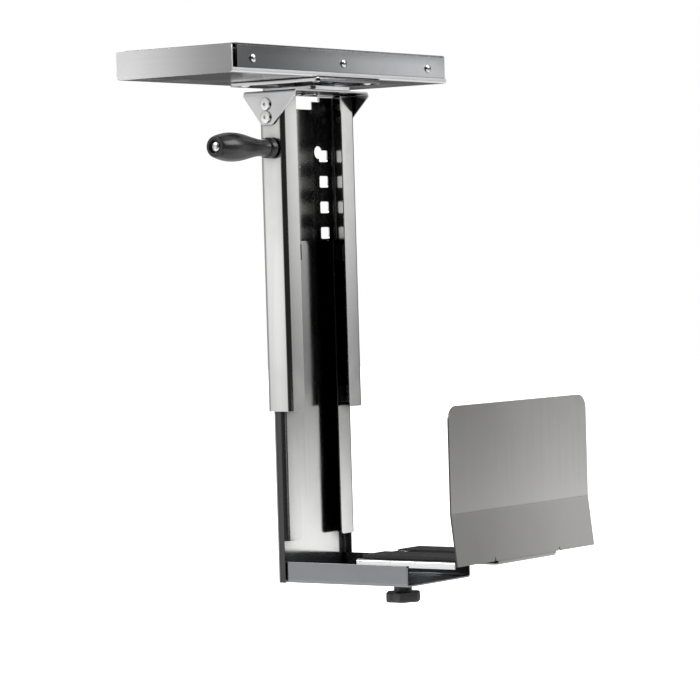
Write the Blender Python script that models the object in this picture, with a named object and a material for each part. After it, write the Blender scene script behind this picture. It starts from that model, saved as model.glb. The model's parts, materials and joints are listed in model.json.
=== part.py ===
"""Under-desk computer holder: telescopic column, swivel and slide-out carriage.

Metres, +Z up.  The origin is on the swivel axis, in the plane where the fixed
channel meets the underside of the desk, so the whole holder hangs below Z = 0.
+X runs from the column towards the side plate and -Y towards the user, which
is the way the carriage slides out.  Every sheet-metal piece is a constant
section made by bent_strip, and every turned piece is made by turned.
"""
import math

import bmesh
import bpy
from mathutils import Matrix, Vector

MM = 0.001
GAP = 0.3 * MM                 # between pieces that touch
SHAFT_GAP = 0.3 * MM           # round a shaft in its bore
SEGMENTS = 20                  # sides of a turned piece

# --- carriage tray and the fixed channel above it
TRAY_WIDTH = 132.5 * MM        # along X
TRAY_LENGTH = 341.0 * MM       # along Y
TRAY_OFFSET_X = -16.75 * MM    # tray's middle from the swivel axis
TRAY_OFFSET_Y = -7.5 * MM
MOUNT_HEIGHT = 27.0 * MM       # desk to the tray's underside
TRAY_FLANGE = 4.6 * MM         # height of the tray's long edges
PLATE_T = 1.5 * MM             # sheet of tray, channel, base and side plate
SHARP_BEND = 0.8 * MM          # inner radius of the small folds
TRAY_BEND = 1.6 * MM
TRAY_CORNER = 5.0 * MM         # lower corners of the tray's front
FRONT_GAP = 1.2 * MM           # tray's front below the desk
FRONT_SETBACK = 9.0 * MM       # fixed channel starts behind the tray's front
CHANNEL_INSET = 1.25 * MM      # channel's side face inside the tray's edge
DESK_HOLE_D = 5.0 * MM
DESK_HOLE_END = 40.0 * MM      # from each end of the channel
DESK_HOLE_EDGE = 30.0 * MM     # from each side of the channel

# --- telescopic slides, from the channel's wall inwards
SLIDE_LENGTH = 330.0 * MM
SLIDE_TRAVEL = 300.0 * MM
SLIDE_HEIGHT = 18.0 * MM
SLIDE_DEPTH = 10.2 * MM
SLIDE_T = 1.2 * MM
SLIDE_BEND = 0.3 * MM
CAGE_T = 0.8 * MM
CAGE_LENGTH = 80.0 * MM
CAGE_REST_Y = 40.0 * MM        # cage's middle with the slide closed
ANGLE_FOOT = 15.0 * MM         # foot of the angle that carries the slide
SIDE_SCREW_D = 4.0 * MM
SIDE_HEAD_D = 7.6 * MM
SIDE_HEAD_H = 2.2 * MM
SIDE_SCREW_PITCH = 139.5 * MM
SIDE_SCREW_Y = -6.5 * MM       # middle one of three
SIDE_SCREW_Z = -13.5 * MM

# --- swivel
SWIVEL_PLATE = 104.0 * MM
SWIVEL_FLANGE = 3.7 * MM
SWIVEL_CORNER = 4.0 * MM
RIVET_SPREAD = 41.0 * MM       # rivets at plus and minus this in X and Y
RIVET_D = 4.0 * MM
RIVET_HEAD_D = 9.0 * MM
RIVET_HEAD_H = 2.6 * MM
RIVET_TOP_H = 1.4 * MM         # flat head inside the tray
RACE_R_IN = 16.0 * MM
RACE_R_OUT = 27.0 * MM
RACE_H = 3.8 * MM
LOWER_PLATE = 61.0 * MM
LOWER_PLATE_T = 3.6 * MM
PIVOT_D = 13.0 * MM
PIVOT_HEAD_D = 20.0 * MM
PIVOT_HEAD_H = 1.5 * MM
PIVOT_BORE_D = 7.0 * MM

# --- column
SLEEVE_DEPTH = 27.6 * MM       # along X
SLEEVE_WIDTH = 115.0 * MM      # along Y
SLEEVE_LIP = 21.7 * MM
SLEEVE_LENGTH = 294.7 * MM
COLUMN_T = 1.2 * MM
COLUMN_BEND = 2.0 * MM         # inner radius
INNER_DEPTH = 13.6 * MM
INNER_WIDTH = 108.3 * MM
INNER_LIP = 22.0 * MM
INNER_LENGTH = 318.6 * MM
INNER_SETBACK = 2.0 * MM       # inner web in front of the sleeve's web
EXPOSED = 160.1 * MM           # inner channel below the sleeve, as drawn
LIP_STOP = 39.0 * MM           # inner lips end above the bottom
HOLE_ROWS = 8
HOLE_PITCH = 24.4 * MM
HOLE_WIDTH = 13.4 * MM
HOLE_HEIGHT = 11.0 * MM
HOLE_CORNER = 1.6 * MM
HOLE_COLUMN = 41.0 * MM        # both columns from the middle
HOLE_TOP_ROW = 55.7 * MM       # first row below the sleeve's top
WINDOW_STEPS = ((38.0 * MM, 4.2 * MM), (25.0 * MM, 11.7 * MM))   # half width, depth
SPY_HOLE_D = 12.0 * MM
SPY_HOLE_Y = 33.0 * MM
SPY_HOLE_DROP = 52.2 * MM      # below the sleeve's top

# --- bracket between the swivel and the column
BRACKET_DEPTH = 59.5 * MM      # along X
BRACKET_T = 1.5 * MM
BRACKET_BEND = 2.2 * MM
EAR_DROP = 31.9 * MM           # below the bracket's top
EAR_FOOT = (-9.5 * MM, 3.2 * MM)
EAR_SHOULDER = 5.0 * MM        # straight part before the ear tapers
EAR_SCREW_X = -4.0 * MM
EAR_SCREW_DROPS = (12.8 * MM, 24.8 * MM)
EAR_SCREW_D = 5.0 * MM
EAR_HEAD_D = 11.2 * MM
EAR_HEAD_H = 1.6 * MM

# --- height drive
HANDLE_DROP = 49.7 * MM        # handle's axis below the sleeve's top
SHAFT_D = 8.0 * MM
BUSH_D = 11.4 * MM
BUSH_FLANGE_D = 16.0 * MM
BUSH_FLANGE_H = 1.5 * MM
BUSH_REACH = 3.5 * MM          # inside the sleeve's wall
HUB_D = 19.6 * MM
HUB_LENGTH = 8.4 * MM
GRIP_LENGTH = 75.3 * MM
GRIP_PROFILE = ((0.0, 8.2), (0.13, 7.9), (0.29, 9.5), (0.48, 12.1), (0.62, 13.2),
                (0.76, 13.1), (0.88, 11.8), (0.97, 10.2), (1.0, 9.2))  # share, radius mm
GRIP_RECESS_D = 13.0 * MM
GRIP_RECESS = 3.0 * MM
GRIP_BORE_D = 5.6 * MM
GRIP_PIN_D = 5.0 * MM
GRIP_PIN_HEAD_D = 9.0 * MM
GRIP_PIN_HEAD_H = 2.0 * MM
SCREW_Y = -25.0 * MM           # lead screw's axis, out of sight behind the lip
SCREW_D = 7.0 * MM
SCREW_LENGTH = 196.0 * MM
SCREW_NECK_D = 6.0 * MM
GEAR_D = 11.0 * MM
GEAR_FACE = 3.2 * MM
GEAR_NOSE_D = 7.4 * MM
GEAR_MESH = 0.5 * MM           # between the two cones
SHELF_DROP = 17.0 * MM         # gear bracket's shelf below the handle's axis
BRACKET_REACH = 21.0 * MM      # gear bracket's depth along X
TAB_Y = 17.5 * MM              # gear bracket's upright from the screw's axis
GEAR_BRACKET_T = 1.2 * MM
GEAR_BRACKET_RISE = 11.0 * MM  # above the handle's axis
NUT_HEIGHT = 15.0 * MM
NUT_WIDTH = 13.0 * MM
NUT_REACH = 14.5 * MM          # from the inner web forwards
NUT_DROP = 3.0 * MM            # below the inner channel's top
NUT_SCREW_D = 3.0 * MM
NUT_SCREW_HEAD_D = 5.4 * MM
NUT_SCREW_HEAD_H = 0.8 * MM
NUT_SCREW_DEPTH = 4.0 * MM     # in the nut

# --- glides between the two channels
GLIDE_HEIGHT = 16.0 * MM
GLIDE_WIDTH = 9.0 * MM
GLIDE_END_GAP = 4.0 * MM       # from the channel's end

# --- base, arm and side plate
BASE_WIDTH = 104.0 * MM
BASE_HEIGHT = 19.5 * MM
BASE_FRONT = 134.9 * MM        # front end from the swivel axis
BASE_BEND = 1.6 * MM
ARM_REAR = 77.8 * MM
ARM_RISE = 5.1 * MM            # arm's top above the base's walls
ARM_FLANGE = 6.8 * MM
ARM_SIDE_GAP = 0.3 * MM
ARM_BEND = 1.0 * MM
ARM_FLANGE_END = 186.0 * MM    # side flanges stop here; a flat neck goes on to the plate
PLATE_X = 225.9 * MM           # side plate's inner face
PLATE_WIDTH = 230.0 * MM
PLATE_UPPER = 95.1 * MM        # crease to top edge
PLATE_LOWER = 45.7 * MM        # crease to bottom edge
PLATE_KICK = 5.4 * MM          # bottom edge stands out from the crease
PLATE_CORNER = 13.0 * MM
CREASE_BEND = 6.0 * MM
NOTCH_Y = 54.0 * MM            # relief notches beside the arm's bend
NOTCH_WIDTH = 5.0 * MM
NOTCH_HEIGHT = 3.4 * MM
PLATE_FOOT = 2.6 * MM          # plate's bottom edge above the arm's top
FOOT_BEND = 2.0 * MM
FOOT_OVERLAP = 4.0 * MM        # foot strip's lap on the arm and on the plate
FOOT_SKIN = 0.1 * MM           # foot strip lies this far inside the sheet
PAD_T = 3.5 * MM
PAD_INNER = 11.0 * MM
PAD_OUTER = 46.0 * MM
PAD_END_GAP = 4.0 * MM

# --- clamp under the base
KNOB_X = 94.0 * MM
KNOB_D = 34.0 * MM
KNOB_LOBES = 6
KNOB_LOBE_DEPTH = 2.2 * MM
KNOB_RIM = 1.2 * MM
KNOB_BODY = 9.6 * MM
KNOB_NECK_D = 16.8 * MM
KNOB_NECK = 9.4 * MM
STUD_D = 5.6 * MM
CLAMP_SPACER_D = 12.0 * MM
CLAMP_NUT = 13.0 * MM
CLAMP_NUT_H = 3.0 * MM
ARM_IN = 70.0 * MM             # travel towards the column
ARM_OUT = 6.0 * MM
SLOT_END = 1.0 * MM            # spare slot past the stud at each end
SLOT_W = 7.0 * MM

# --- places that follow from the sizes above
TRAY_BOTTOM = -MOUNT_HEIGHT
TRAY_TOP = TRAY_BOTTOM + PLATE_T
TRAY_FRONT = TRAY_OFFSET_Y - TRAY_LENGTH / 2
TRAY_BACK = TRAY_OFFSET_Y + TRAY_LENGTH / 2
CHANNEL_HALF = TRAY_WIDTH / 2 - CHANNEL_INSET
CHANNEL_FRONT = TRAY_FRONT + FRONT_SETBACK
CHANNEL_BOTTOM = TRAY_BOTTOM + TRAY_FLANGE + GAP
SLIDE_MID_Z = (TRAY_TOP - PLATE_T) / 2
SWIVEL_TOP = TRAY_BOTTOM - GAP
RACE_TOP = SWIVEL_TOP - PLATE_T - GAP
LOWER_TOP = RACE_TOP - RACE_H - GAP
BRACKET_TOP = LOWER_TOP - LOWER_PLATE_T - GAP
BRACKET_UNDER = BRACKET_TOP - BRACKET_T
SLEEVE_TOP = BRACKET_UNDER - BRACKET_BEND
SLEEVE_BOTTOM = SLEEVE_TOP - SLEEVE_LENGTH
SLEEVE_REAR = -SLEEVE_DEPTH / 2
SLEEVE_FRONT = SLEEVE_DEPTH / 2
INNER_BOTTOM = SLEEVE_BOTTOM - EXPOSED
INNER_TOP = INNER_BOTTOM + INNER_LENGTH
INNER_REAR = SLEEVE_REAR + COLUMN_T + INNER_SETBACK
INNER_FRONT = INNER_REAR + INNER_DEPTH
HANDLE_Z = SLEEVE_TOP - HANDLE_DROP
WALL_OUT = -SLEEVE_WIDTH / 2
SHELF_Z = HANDLE_Z - SHELF_DROP
BASE_TOP = INNER_BOTTOM + BASE_HEIGHT
ARM_TOP = BASE_TOP + ARM_RISE
ARM_HALF = BASE_WIDTH / 2 - PLATE_T - ARM_SIDE_GAP
PLATE_BOTTOM = ARM_TOP + PLATE_FOOT
PLATE_CREASE = PLATE_BOTTOM + PLATE_LOWER
PLATE_TOP = PLATE_CREASE + PLATE_UPPER


# ---------------------------------------------------------------- helpers

def clear_scene():
    """Remove whatever the opened file holds."""
    for obj in list(bpy.data.objects):
        bpy.data.objects.remove(obj, do_unlink=True)


def finish(name, colour, roughness, metallic):
    """A Principled BSDF material, made once per name."""
    material = bpy.data.materials.get(name)
    if material is None:
        material = bpy.data.materials.new(name)
        material.use_nodes = True
        shader = material.node_tree.nodes["Principled BSDF"]
        shader.inputs["Base Color"].default_value = (*colour, 1.0)
        shader.inputs["Roughness"].default_value = roughness
        shader.inputs["Metallic"].default_value = metallic
        material.diffuse_color = (*colour, 1.0)
    return material


def silver():
    return finish("satin_silver", (0.56, 0.57, 0.59), 0.24, 1.0)


def zinc():
    return finish("bright_zinc", (0.78, 0.78, 0.77), 0.2, 1.0)


def steel():
    return finish("plain_steel", (0.42, 0.42, 0.43), 0.32, 1.0)


def black_plastic():
    return finish("black_plastic", (0.012, 0.012, 0.013), 0.22, 0.0)


def nylon():
    return finish("black_nylon", (0.03, 0.03, 0.032), 0.5, 0.0)


def rubber():
    return finish("black_rubber", (0.02, 0.02, 0.022), 0.85, 0.0)


def pivot(name, at, parent=None):
    """An empty on a joint's axis; `at` is in world space."""
    empty = bpy.data.objects.new(name, None)
    bpy.context.collection.objects.link(empty)
    return seat(empty, at, parent)


def seat(obj, at, parent):
    """Put an object's origin at a world place, under its parent."""
    base = Vector((0.0, 0.0, 0.0))
    if parent is not None:
        obj.parent = parent
        base = Vector(parent["place"])
    obj.location = Vector(at) - base
    obj["place"] = tuple(at)
    return obj


def piece(name, bm, material, at, parent=None, smooth=False):
    """Turn a bmesh made in world space into a named object with its origin at `at`."""
    bmesh.ops.translate(bm, verts=bm.verts, vec=-Vector(at))
    bmesh.ops.recalc_face_normals(bm, faces=bm.faces)
    mesh = bpy.data.meshes.new(name)
    bm.to_mesh(mesh)
    bm.free()
    mesh.materials.append(material)
    if smooth:
        mesh.shade_smooth()
        mesh.set_sharp_from_angle(angle=math.radians(35))
    obj = bpy.data.objects.new(name, mesh)
    bpy.context.collection.objects.link(obj)
    return seat(obj, at, parent)


def cutter(name, bm):
    """A hidden tool for a Boolean, in world space."""
    obj = piece(name, bm, steel(), (0.0, 0.0, 0.0))
    obj.hide_render = True
    obj.display_type = "WIRE"
    return obj


def boolean(obj, tool, operation="DIFFERENCE"):
    modifier = obj.modifiers.new(tool.name, "BOOLEAN")
    modifier.operation = operation
    modifier.solver = "EXACT"
    modifier.object = tool


def box(lo, hi, into=None):
    """A box between two corners, added to a bmesh."""
    bm = into or bmesh.new()
    lo, hi = Vector(lo), Vector(hi)
    made = bmesh.ops.create_cube(bm, size=1.0)["verts"]
    bmesh.ops.scale(bm, verts=made, vec=hi - lo)
    bmesh.ops.translate(bm, verts=made, vec=(lo + hi) / 2)
    return bm


def cylinder(start, end, diameter, into=None, segments=SEGMENTS):
    """A rod between two points, added to a bmesh."""
    bm = into or bmesh.new()
    start, end = Vector(start), Vector(end)
    axis = end - start
    turn = Vector((0, 0, 1)).rotation_difference(axis).to_matrix().to_4x4()
    bmesh.ops.create_cone(bm, cap_ends=True, segments=segments, radius1=diameter / 2,
                          radius2=diameter / 2, depth=axis.length,
                          matrix=Matrix.Translation((start + end) / 2) @ turn)
    return bm


def rounded_corner(corner, before, after, radius, steps):
    """Points of the arc that rounds `corner` between two neighbours in a plane."""
    to_before = (before - corner).normalized()
    to_after = (after - corner).normalized()
    half = to_before.angle(to_after) / 2
    reach = radius / math.tan(half)
    centre = corner + (to_before + to_after).normalized() * (radius / math.sin(half))
    first = corner + to_before * reach - centre
    last = corner + to_after * reach - centre
    sweep = first.angle_signed(last)
    points = []
    for step in range(steps + 1):
        angle = -sweep * step / steps
        turn = Matrix.Rotation(angle, 2)
        points.append(centre + turn @ first)
    return points


def bent_strip(path, thickness, inner_radius, steps=4):
    """Closed outline of a sheet bent along `path`, its centreline before rounding."""
    path = [Vector(point) for point in path]
    radius = inner_radius + thickness / 2
    middle = [path[0]]
    for before, corner, after in zip(path, path[1:], path[2:]):
        middle += rounded_corner(corner, before, after, radius, steps)
    middle.append(path[-1])
    sides = ([], [])
    for index, point in enumerate(middle):
        ahead = middle[min(index + 1, len(middle) - 1)]
        behind = middle[max(index - 1, 0)]
        along = (ahead - point).normalized() + (point - behind).normalized()
        if index in (0, len(middle) - 1):
            along = ahead - behind
        along.normalize()
        across = Vector((-along.y, along.x)) * thickness / 2
        sides[0].append(point + across)
        sides[1].append(point - across)
    return sides[0] + sides[1][::-1]


def prism(outline, axis, start, end, into=None):
    """Extrude a closed outline along X, Y or Z.

    The outline's two numbers are (Y, Z) for X, (X, Z) for Y and (X, Y) for Z.
    """
    bm = into or bmesh.new()
    order = {"X": lambda p: (start, p[0], p[1]),
             "Y": lambda p: (p[0], start, p[1]),
             "Z": lambda p: (p[0], p[1], start)}[axis]
    verts = [bm.verts.new(order(point)) for point in outline]
    face = bm.faces.new(verts)
    grown = bmesh.ops.extrude_face_region(bm, geom=[face])["geom"]
    moved = [item for item in grown if isinstance(item, bmesh.types.BMVert)]
    shift = {"X": (end - start, 0, 0), "Y": (0, end - start, 0), "Z": (0, 0, end - start)}
    bmesh.ops.translate(bm, verts=moved, vec=shift[axis])
    return bm


def turned(profile, start, direction, segments=SEGMENTS):
    """Revolve (distance, radius) pairs round a line; a zero radius closes an end."""
    bm = bmesh.new()
    rings = []
    for distance, radius in profile:
        if radius == 0:
            rings.append([bm.verts.new((0, 0, distance))])
            continue
        ring = []
        for step in range(segments):
            angle = 2 * math.pi * step / segments
            ring.append(bm.verts.new((radius * math.cos(angle), radius * math.sin(angle),
                                      distance)))
        rings.append(ring)
    closed = profile[0][1] > 0 and profile[-1][1] > 0
    pairs = list(zip(rings, rings[1:]))
    if closed:
        pairs.append((rings[-1], rings[0]))
    for lower, upper in pairs:
        for step in range(segments):
            after = (step + 1) % segments
            corners = [lower[step % len(lower)], lower[after % len(lower)],
                       upper[after % len(upper)], upper[step % len(upper)]]
            unique = list(dict.fromkeys(corners))
            if len(unique) > 2:
                bm.faces.new(unique)
    turn = Vector((0, 0, 1)).rotation_difference(Vector(direction)).to_matrix().to_4x4()
    bmesh.ops.transform(bm, matrix=Matrix.Translation(Vector(start)) @ turn, verts=bm.verts)
    return bm


def tube(start, direction, length, outer_d, inner_d):
    """A plain ring or tube."""
    return turned(((0, inner_d / 2), (0, outer_d / 2), (length, outer_d / 2),
                   (length, inner_d / 2)), start, direction)


def screw_profile(head_d, head_h, shank_d, shank, dome=0.35):
    """Profile of a domed screw, head first; `dome` is the share of the head that is round."""
    edge = head_h * (1 - dome)
    top = [(0.0, 0.0)]
    steps = 3
    for step in range(1, steps + 1):
        angle = math.pi / 2 * step / steps
        top.append((head_h * dome * (1 - math.cos(angle)), head_d / 2 * math.sin(angle)))
    return tuple(top) + ((head_h * dome + edge, head_d / 2), (head_h, shank_d / 2),
                         (head_h + shank, shank_d / 2), (head_h + shank, 0.0))


def c_section(rear, front, half, lip, thickness, radius):
    """Lipped channel open towards +X, as an (X, Y) outline."""
    t = thickness / 2
    path = ((front - t, -half + lip), (front - t, -half + t), (rear + t, -half + t),
            (rear + t, half - t), (front - t, half - t), (front - t, half - lip))
    return bent_strip(path, thickness, radius)


# ---------------------------------------------------------------- fixed channel and slides

def side_screw_places():
    """(side, y) of the six screws that hold the slides."""
    for side in (-1, 1):
        for row in (-1, 0, 1):
            yield side, SIDE_SCREW_Y + row * SIDE_SCREW_PITCH


def side_screw_bores(name):
    """Cutter for the screws' holes in the channel's walls and the slides."""
    bm = bmesh.new()
    for side, y in side_screw_places():
        wall = TRAY_OFFSET_X + side * CHANNEL_HALF
        cylinder((wall - SLIDE_DEPTH, y, SIDE_SCREW_Z), (wall + SLIDE_DEPTH, y, SIDE_SCREW_Z),
                 SIDE_SCREW_D + 2 * SHAFT_GAP, bm)
    return cutter(name, bm)


def fixed_channel():
    """Channel screwed under the desk, with its walls down beside the slides."""
    t = PLATE_T / 2
    left = TRAY_OFFSET_X - CHANNEL_HALF + t
    right = TRAY_OFFSET_X + CHANNEL_HALF - t
    path = ((left, CHANNEL_BOTTOM), (left, -t), (right, -t), (right, CHANNEL_BOTTOM))
    bm = prism(bent_strip(path, PLATE_T, SHARP_BEND, 3), "Y", CHANNEL_FRONT, TRAY_BACK)
    channel = piece("desk_channel", bm, silver(), (TRAY_OFFSET_X, TRAY_OFFSET_Y, 0))
    boolean(channel, side_screw_bores("channel_bores"))
    holes = bmesh.new()
    for x in (left + DESK_HOLE_EDGE, right - DESK_HOLE_EDGE):
        for y in (CHANNEL_FRONT + DESK_HOLE_END, TRAY_BACK - DESK_HOLE_END):
            cylinder((x, y, -4 * PLATE_T), (x, y, 2 * PLATE_T), DESK_HOLE_D, holes)
    boolean(channel, cutter("desk_holes", holes))


def slide_levels():
    """Half heights and depths of the nested slide members, outermost first."""
    outer_half = SLIDE_HEIGHT / 2
    cage_half = outer_half - SLIDE_T - GAP
    middle_half = cage_half - CAGE_T - GAP
    inner_half = middle_half - SLIDE_T - GAP
    return outer_half, cage_half, middle_half, inner_half


def slide_section(side, back, mouth, half, thickness):
    """C outline of one slide member; `back` and `mouth` are distances from the middle."""
    t = thickness / 2
    inward = 1 if back < mouth else -1
    spine = TRAY_OFFSET_X + side * (back + inward * t)
    edge = TRAY_OFFSET_X + side * mouth
    top = SLIDE_MID_Z + half - t
    low = SLIDE_MID_Z - half + t
    return bent_strip(((edge, top), (spine, top), (spine, low), (edge, low)), thickness,
                      SLIDE_BEND, 2)


def slides(middle_pivot, cage_pivot, carriage):
    """Both three-part slides with their ball cages and the angles that carry the tray."""
    outer_half, cage_half, middle_half, inner_half = slide_levels()
    wall = CHANNEL_HALF - PLATE_T - GAP
    cage_back = wall - SLIDE_T - GAP
    middle_back = cage_back - CAGE_T - GAP
    inner_tip = middle_back - SLIDE_T - 2 * GAP
    mouth = wall - SLIDE_DEPTH
    inner_back = mouth - 2 * SLIDE_T
    start = (TRAY_BACK + CHANNEL_FRONT) / 2 - SLIDE_LENGTH / 2
    end = start + SLIDE_LENGTH
    bores = side_screw_bores("slide_bores")
    for side, tag in ((-1, "left"), (1, "right")):
        origin = (TRAY_OFFSET_X + side * wall, start, SLIDE_MID_Z)
        outer = prism(slide_section(side, wall, mouth, outer_half, SLIDE_T), "Y", start, end)
        rail = piece("slide_outer_" + tag, outer, zinc(), origin)
        boolean(rail, bores)
        cage = prism(slide_section(side, cage_back, mouth + GAP, cage_half, CAGE_T), "Y",
                     CAGE_REST_Y - CAGE_LENGTH / 2, CAGE_REST_Y + CAGE_LENGTH / 2)
        piece("ball_cage_" + tag, cage, steel(), origin, cage_pivot)
        middle = prism(slide_section(side, middle_back, mouth, middle_half, SLIDE_T), "Y",
                       start, end)
        piece("slide_middle_" + tag, middle, zinc(), origin, middle_pivot)
        inner = prism(slide_section(side, inner_back, inner_tip, inner_half, SLIDE_T), "Y",
                      start, end)
        piece("slide_inner_" + tag, inner, zinc(), origin, carriage)
        web = inner_back - GAP - PLATE_T / 2
        foot_z = TRAY_TOP + GAP + PLATE_T / 2
        path = ((TRAY_OFFSET_X + side * web, SLIDE_MID_Z + inner_half),
                (TRAY_OFFSET_X + side * web, foot_z),
                (TRAY_OFFSET_X + side * (web - ANGLE_FOOT), foot_z))
        angle = prism(bent_strip(path, PLATE_T, SHARP_BEND, 3), "Y", start, end)
        piece("slide_angle_" + tag, angle, silver(), origin, carriage)


def side_screws():
    profile = screw_profile(SIDE_HEAD_D, SIDE_HEAD_H, SIDE_SCREW_D, PLATE_T + SLIDE_T + GAP)
    for number, (side, y) in enumerate(side_screw_places(), 1):
        head = (TRAY_OFFSET_X + side * (CHANNEL_HALF + GAP + SIDE_HEAD_H), y, SIDE_SCREW_Z)
        bm = turned(profile, head, (-side, 0, 0), 14)
        piece("side_screw_%d" % number, bm, zinc(), head, smooth=True)


# ---------------------------------------------------------------- carriage and swivel

def rivet_places():
    """The four rivets that hold the swivel's upper plate to the tray."""
    for x in (-1, 1):
        for y in (-1, 1):
            yield x * RIVET_SPREAD, y * RIVET_SPREAD


def swivel_bores(name):
    """Cutter for the pivot and the four rivets."""
    top, low = TRAY_TOP + 3 * PLATE_T, BRACKET_UNDER - 3 * PLATE_T
    bm = cylinder((0, 0, low), (0, 0, top), PIVOT_D + 2 * SHAFT_GAP)
    for x, y in rivet_places():
        cylinder((x, y, RACE_TOP - 3 * GAP), (x, y, top), RIVET_D + 2 * SHAFT_GAP, bm, 16)
    return cutter(name, bm)


def carriage_tray(carriage):
    """Shallow tray that slides out, closed at the user's end by a full-height front."""
    t = PLATE_T / 2
    left = TRAY_OFFSET_X - TRAY_WIDTH / 2 + t
    right = TRAY_OFFSET_X + TRAY_WIDTH / 2 - t
    brim = TRAY_BOTTOM + TRAY_FLANGE
    path = ((left, brim), (left, TRAY_BOTTOM + t), (right, TRAY_BOTTOM + t), (right, brim))
    bm = prism(bent_strip(path, PLATE_T, TRAY_BEND), "Y", TRAY_FRONT, TRAY_BACK)
    tray = piece("carriage_tray", bm, silver(), (0, 0, TRAY_BOTTOM), carriage)
    low, high = TRAY_BOTTOM, -FRONT_GAP
    outer_left, outer_right = left - t, right + t
    sides = [(outer_left, high), (outer_left, low), (outer_right, low), (outer_right, high)]
    points = [Vector(point) for point in sides]
    outline = [points[0]]
    outline += rounded_corner(points[1], points[0], points[2], TRAY_CORNER, 5)
    outline += rounded_corner(points[2], points[1], points[3], TRAY_CORNER, 5)
    outline.append(points[3])
    front = prism(outline, "Y", TRAY_FRONT - PLATE_T / 2, TRAY_FRONT + PLATE_T / 2)
    boolean(tray, cutter("tray_front", front), "UNION")
    boolean(tray, swivel_bores("tray_bores"))


def swivel_upper_plate(carriage):
    """Square plate with a turned-down edge, riveted under the tray."""
    half = SWIVEL_PLATE / 2
    bm = box((-half, -half, SWIVEL_TOP - SWIVEL_FLANGE), (half, half, SWIVEL_TOP))
    upright = [e for e in bm.edges if abs(e.verts[0].co.z - e.verts[1].co.z) > PLATE_T]
    bmesh.ops.bevel(bm, geom=upright, offset=SWIVEL_CORNER, segments=4, affect="EDGES",
                    profile=0.5, material=-1)
    under = min(bm.faces, key=lambda f: f.calc_center_median().z)
    bmesh.ops.inset_region(bm, faces=[under], thickness=PLATE_T, depth=0.0)
    bmesh.ops.translate(bm, verts=under.verts, vec=(0, 0, SWIVEL_FLANGE - PLATE_T))
    plate = piece("swivel_upper_plate", bm, silver(), (0, 0, SWIVEL_TOP), carriage)
    boolean(plate, swivel_bores("swivel_plate_bores"))


def swivel_rivets(carriage):
    """Rivets with a domed head below and a flat one inside the tray."""
    for number, (x, y) in enumerate(rivet_places(), 1):
        head_z = RACE_TOP - RIVET_HEAD_H
        reach = TRAY_TOP + GAP - RACE_TOP
        lower = screw_profile(RIVET_HEAD_D, RIVET_HEAD_H, RIVET_D, reach, 0.6)[:-1]
        shank = RIVET_HEAD_H + reach
        upper = ((shank, RIVET_D), (shank + RIVET_TOP_H, RIVET_D), (shank + RIVET_TOP_H, 0.0))
        bm = turned(lower + upper, (x, y, head_z), (0, 0, 1), 14)
        piece("swivel_rivet_%d" % number, bm, zinc(), (x, y, head_z), carriage, True)


def swivel_moving(swivel):
    """Ball race, lower plate, pivot and the bracket that carries the column."""
    race = tube((0, 0, RACE_TOP - RACE_H), (0, 0, 1), RACE_H, 2 * RACE_R_OUT, 2 * RACE_R_IN)
    piece("ball_race", race, zinc(), (0, 0, RACE_TOP - RACE_H), swivel, True)
    half = LOWER_PLATE / 2
    bm = box((-half, -half, LOWER_TOP - LOWER_PLATE_T), (half, half, LOWER_TOP))
    upright = [e for e in bm.edges if abs(e.verts[0].co.z - e.verts[1].co.z) > PLATE_T]
    bmesh.ops.bevel(bm, geom=upright, offset=SWIVEL_CORNER, segments=4, affect="EDGES",
                    profile=0.5, material=-1)
    lower = piece("swivel_lower_plate", bm, silver(), (0, 0, LOWER_TOP), swivel)
    boolean(lower, swivel_bores("lower_plate_bores"))
    top = TRAY_TOP + GAP + PIVOT_HEAD_H
    low = BRACKET_UNDER - GAP - PIVOT_HEAD_H
    length = top - low
    r_in, r_out, r_head = PIVOT_BORE_D / 2, PIVOT_D / 2, PIVOT_HEAD_D / 2
    profile = ((0, r_in), (0, r_head), (PIVOT_HEAD_H, r_head), (PIVOT_HEAD_H, r_out),
               (length - PIVOT_HEAD_H, r_out), (length - PIVOT_HEAD_H, r_head),
               (length, r_head), (length, r_in))
    piece("swivel_pivot", turned(profile, (0, 0, low), (0, 0, 1)), zinc(), (0, 0, low),
          swivel, True)


def ear_screw_bores(name):
    """Cutter for the screws through the ears and the sleeve's walls."""
    bm = bmesh.new()
    for side in (-1, 1):
        for drop in EAR_SCREW_DROPS:
            z = BRACKET_TOP - drop
            inside = side * (SLEEVE_WIDTH / 2 - 5 * COLUMN_T)
            outside = side * (SLEEVE_WIDTH / 2 + 5 * BRACKET_T)
            cylinder((EAR_SCREW_X, inside, z), (EAR_SCREW_X, outside, z),
                     EAR_SCREW_D + 2 * SHAFT_GAP, bm)
    return cutter(name, bm)


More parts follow.
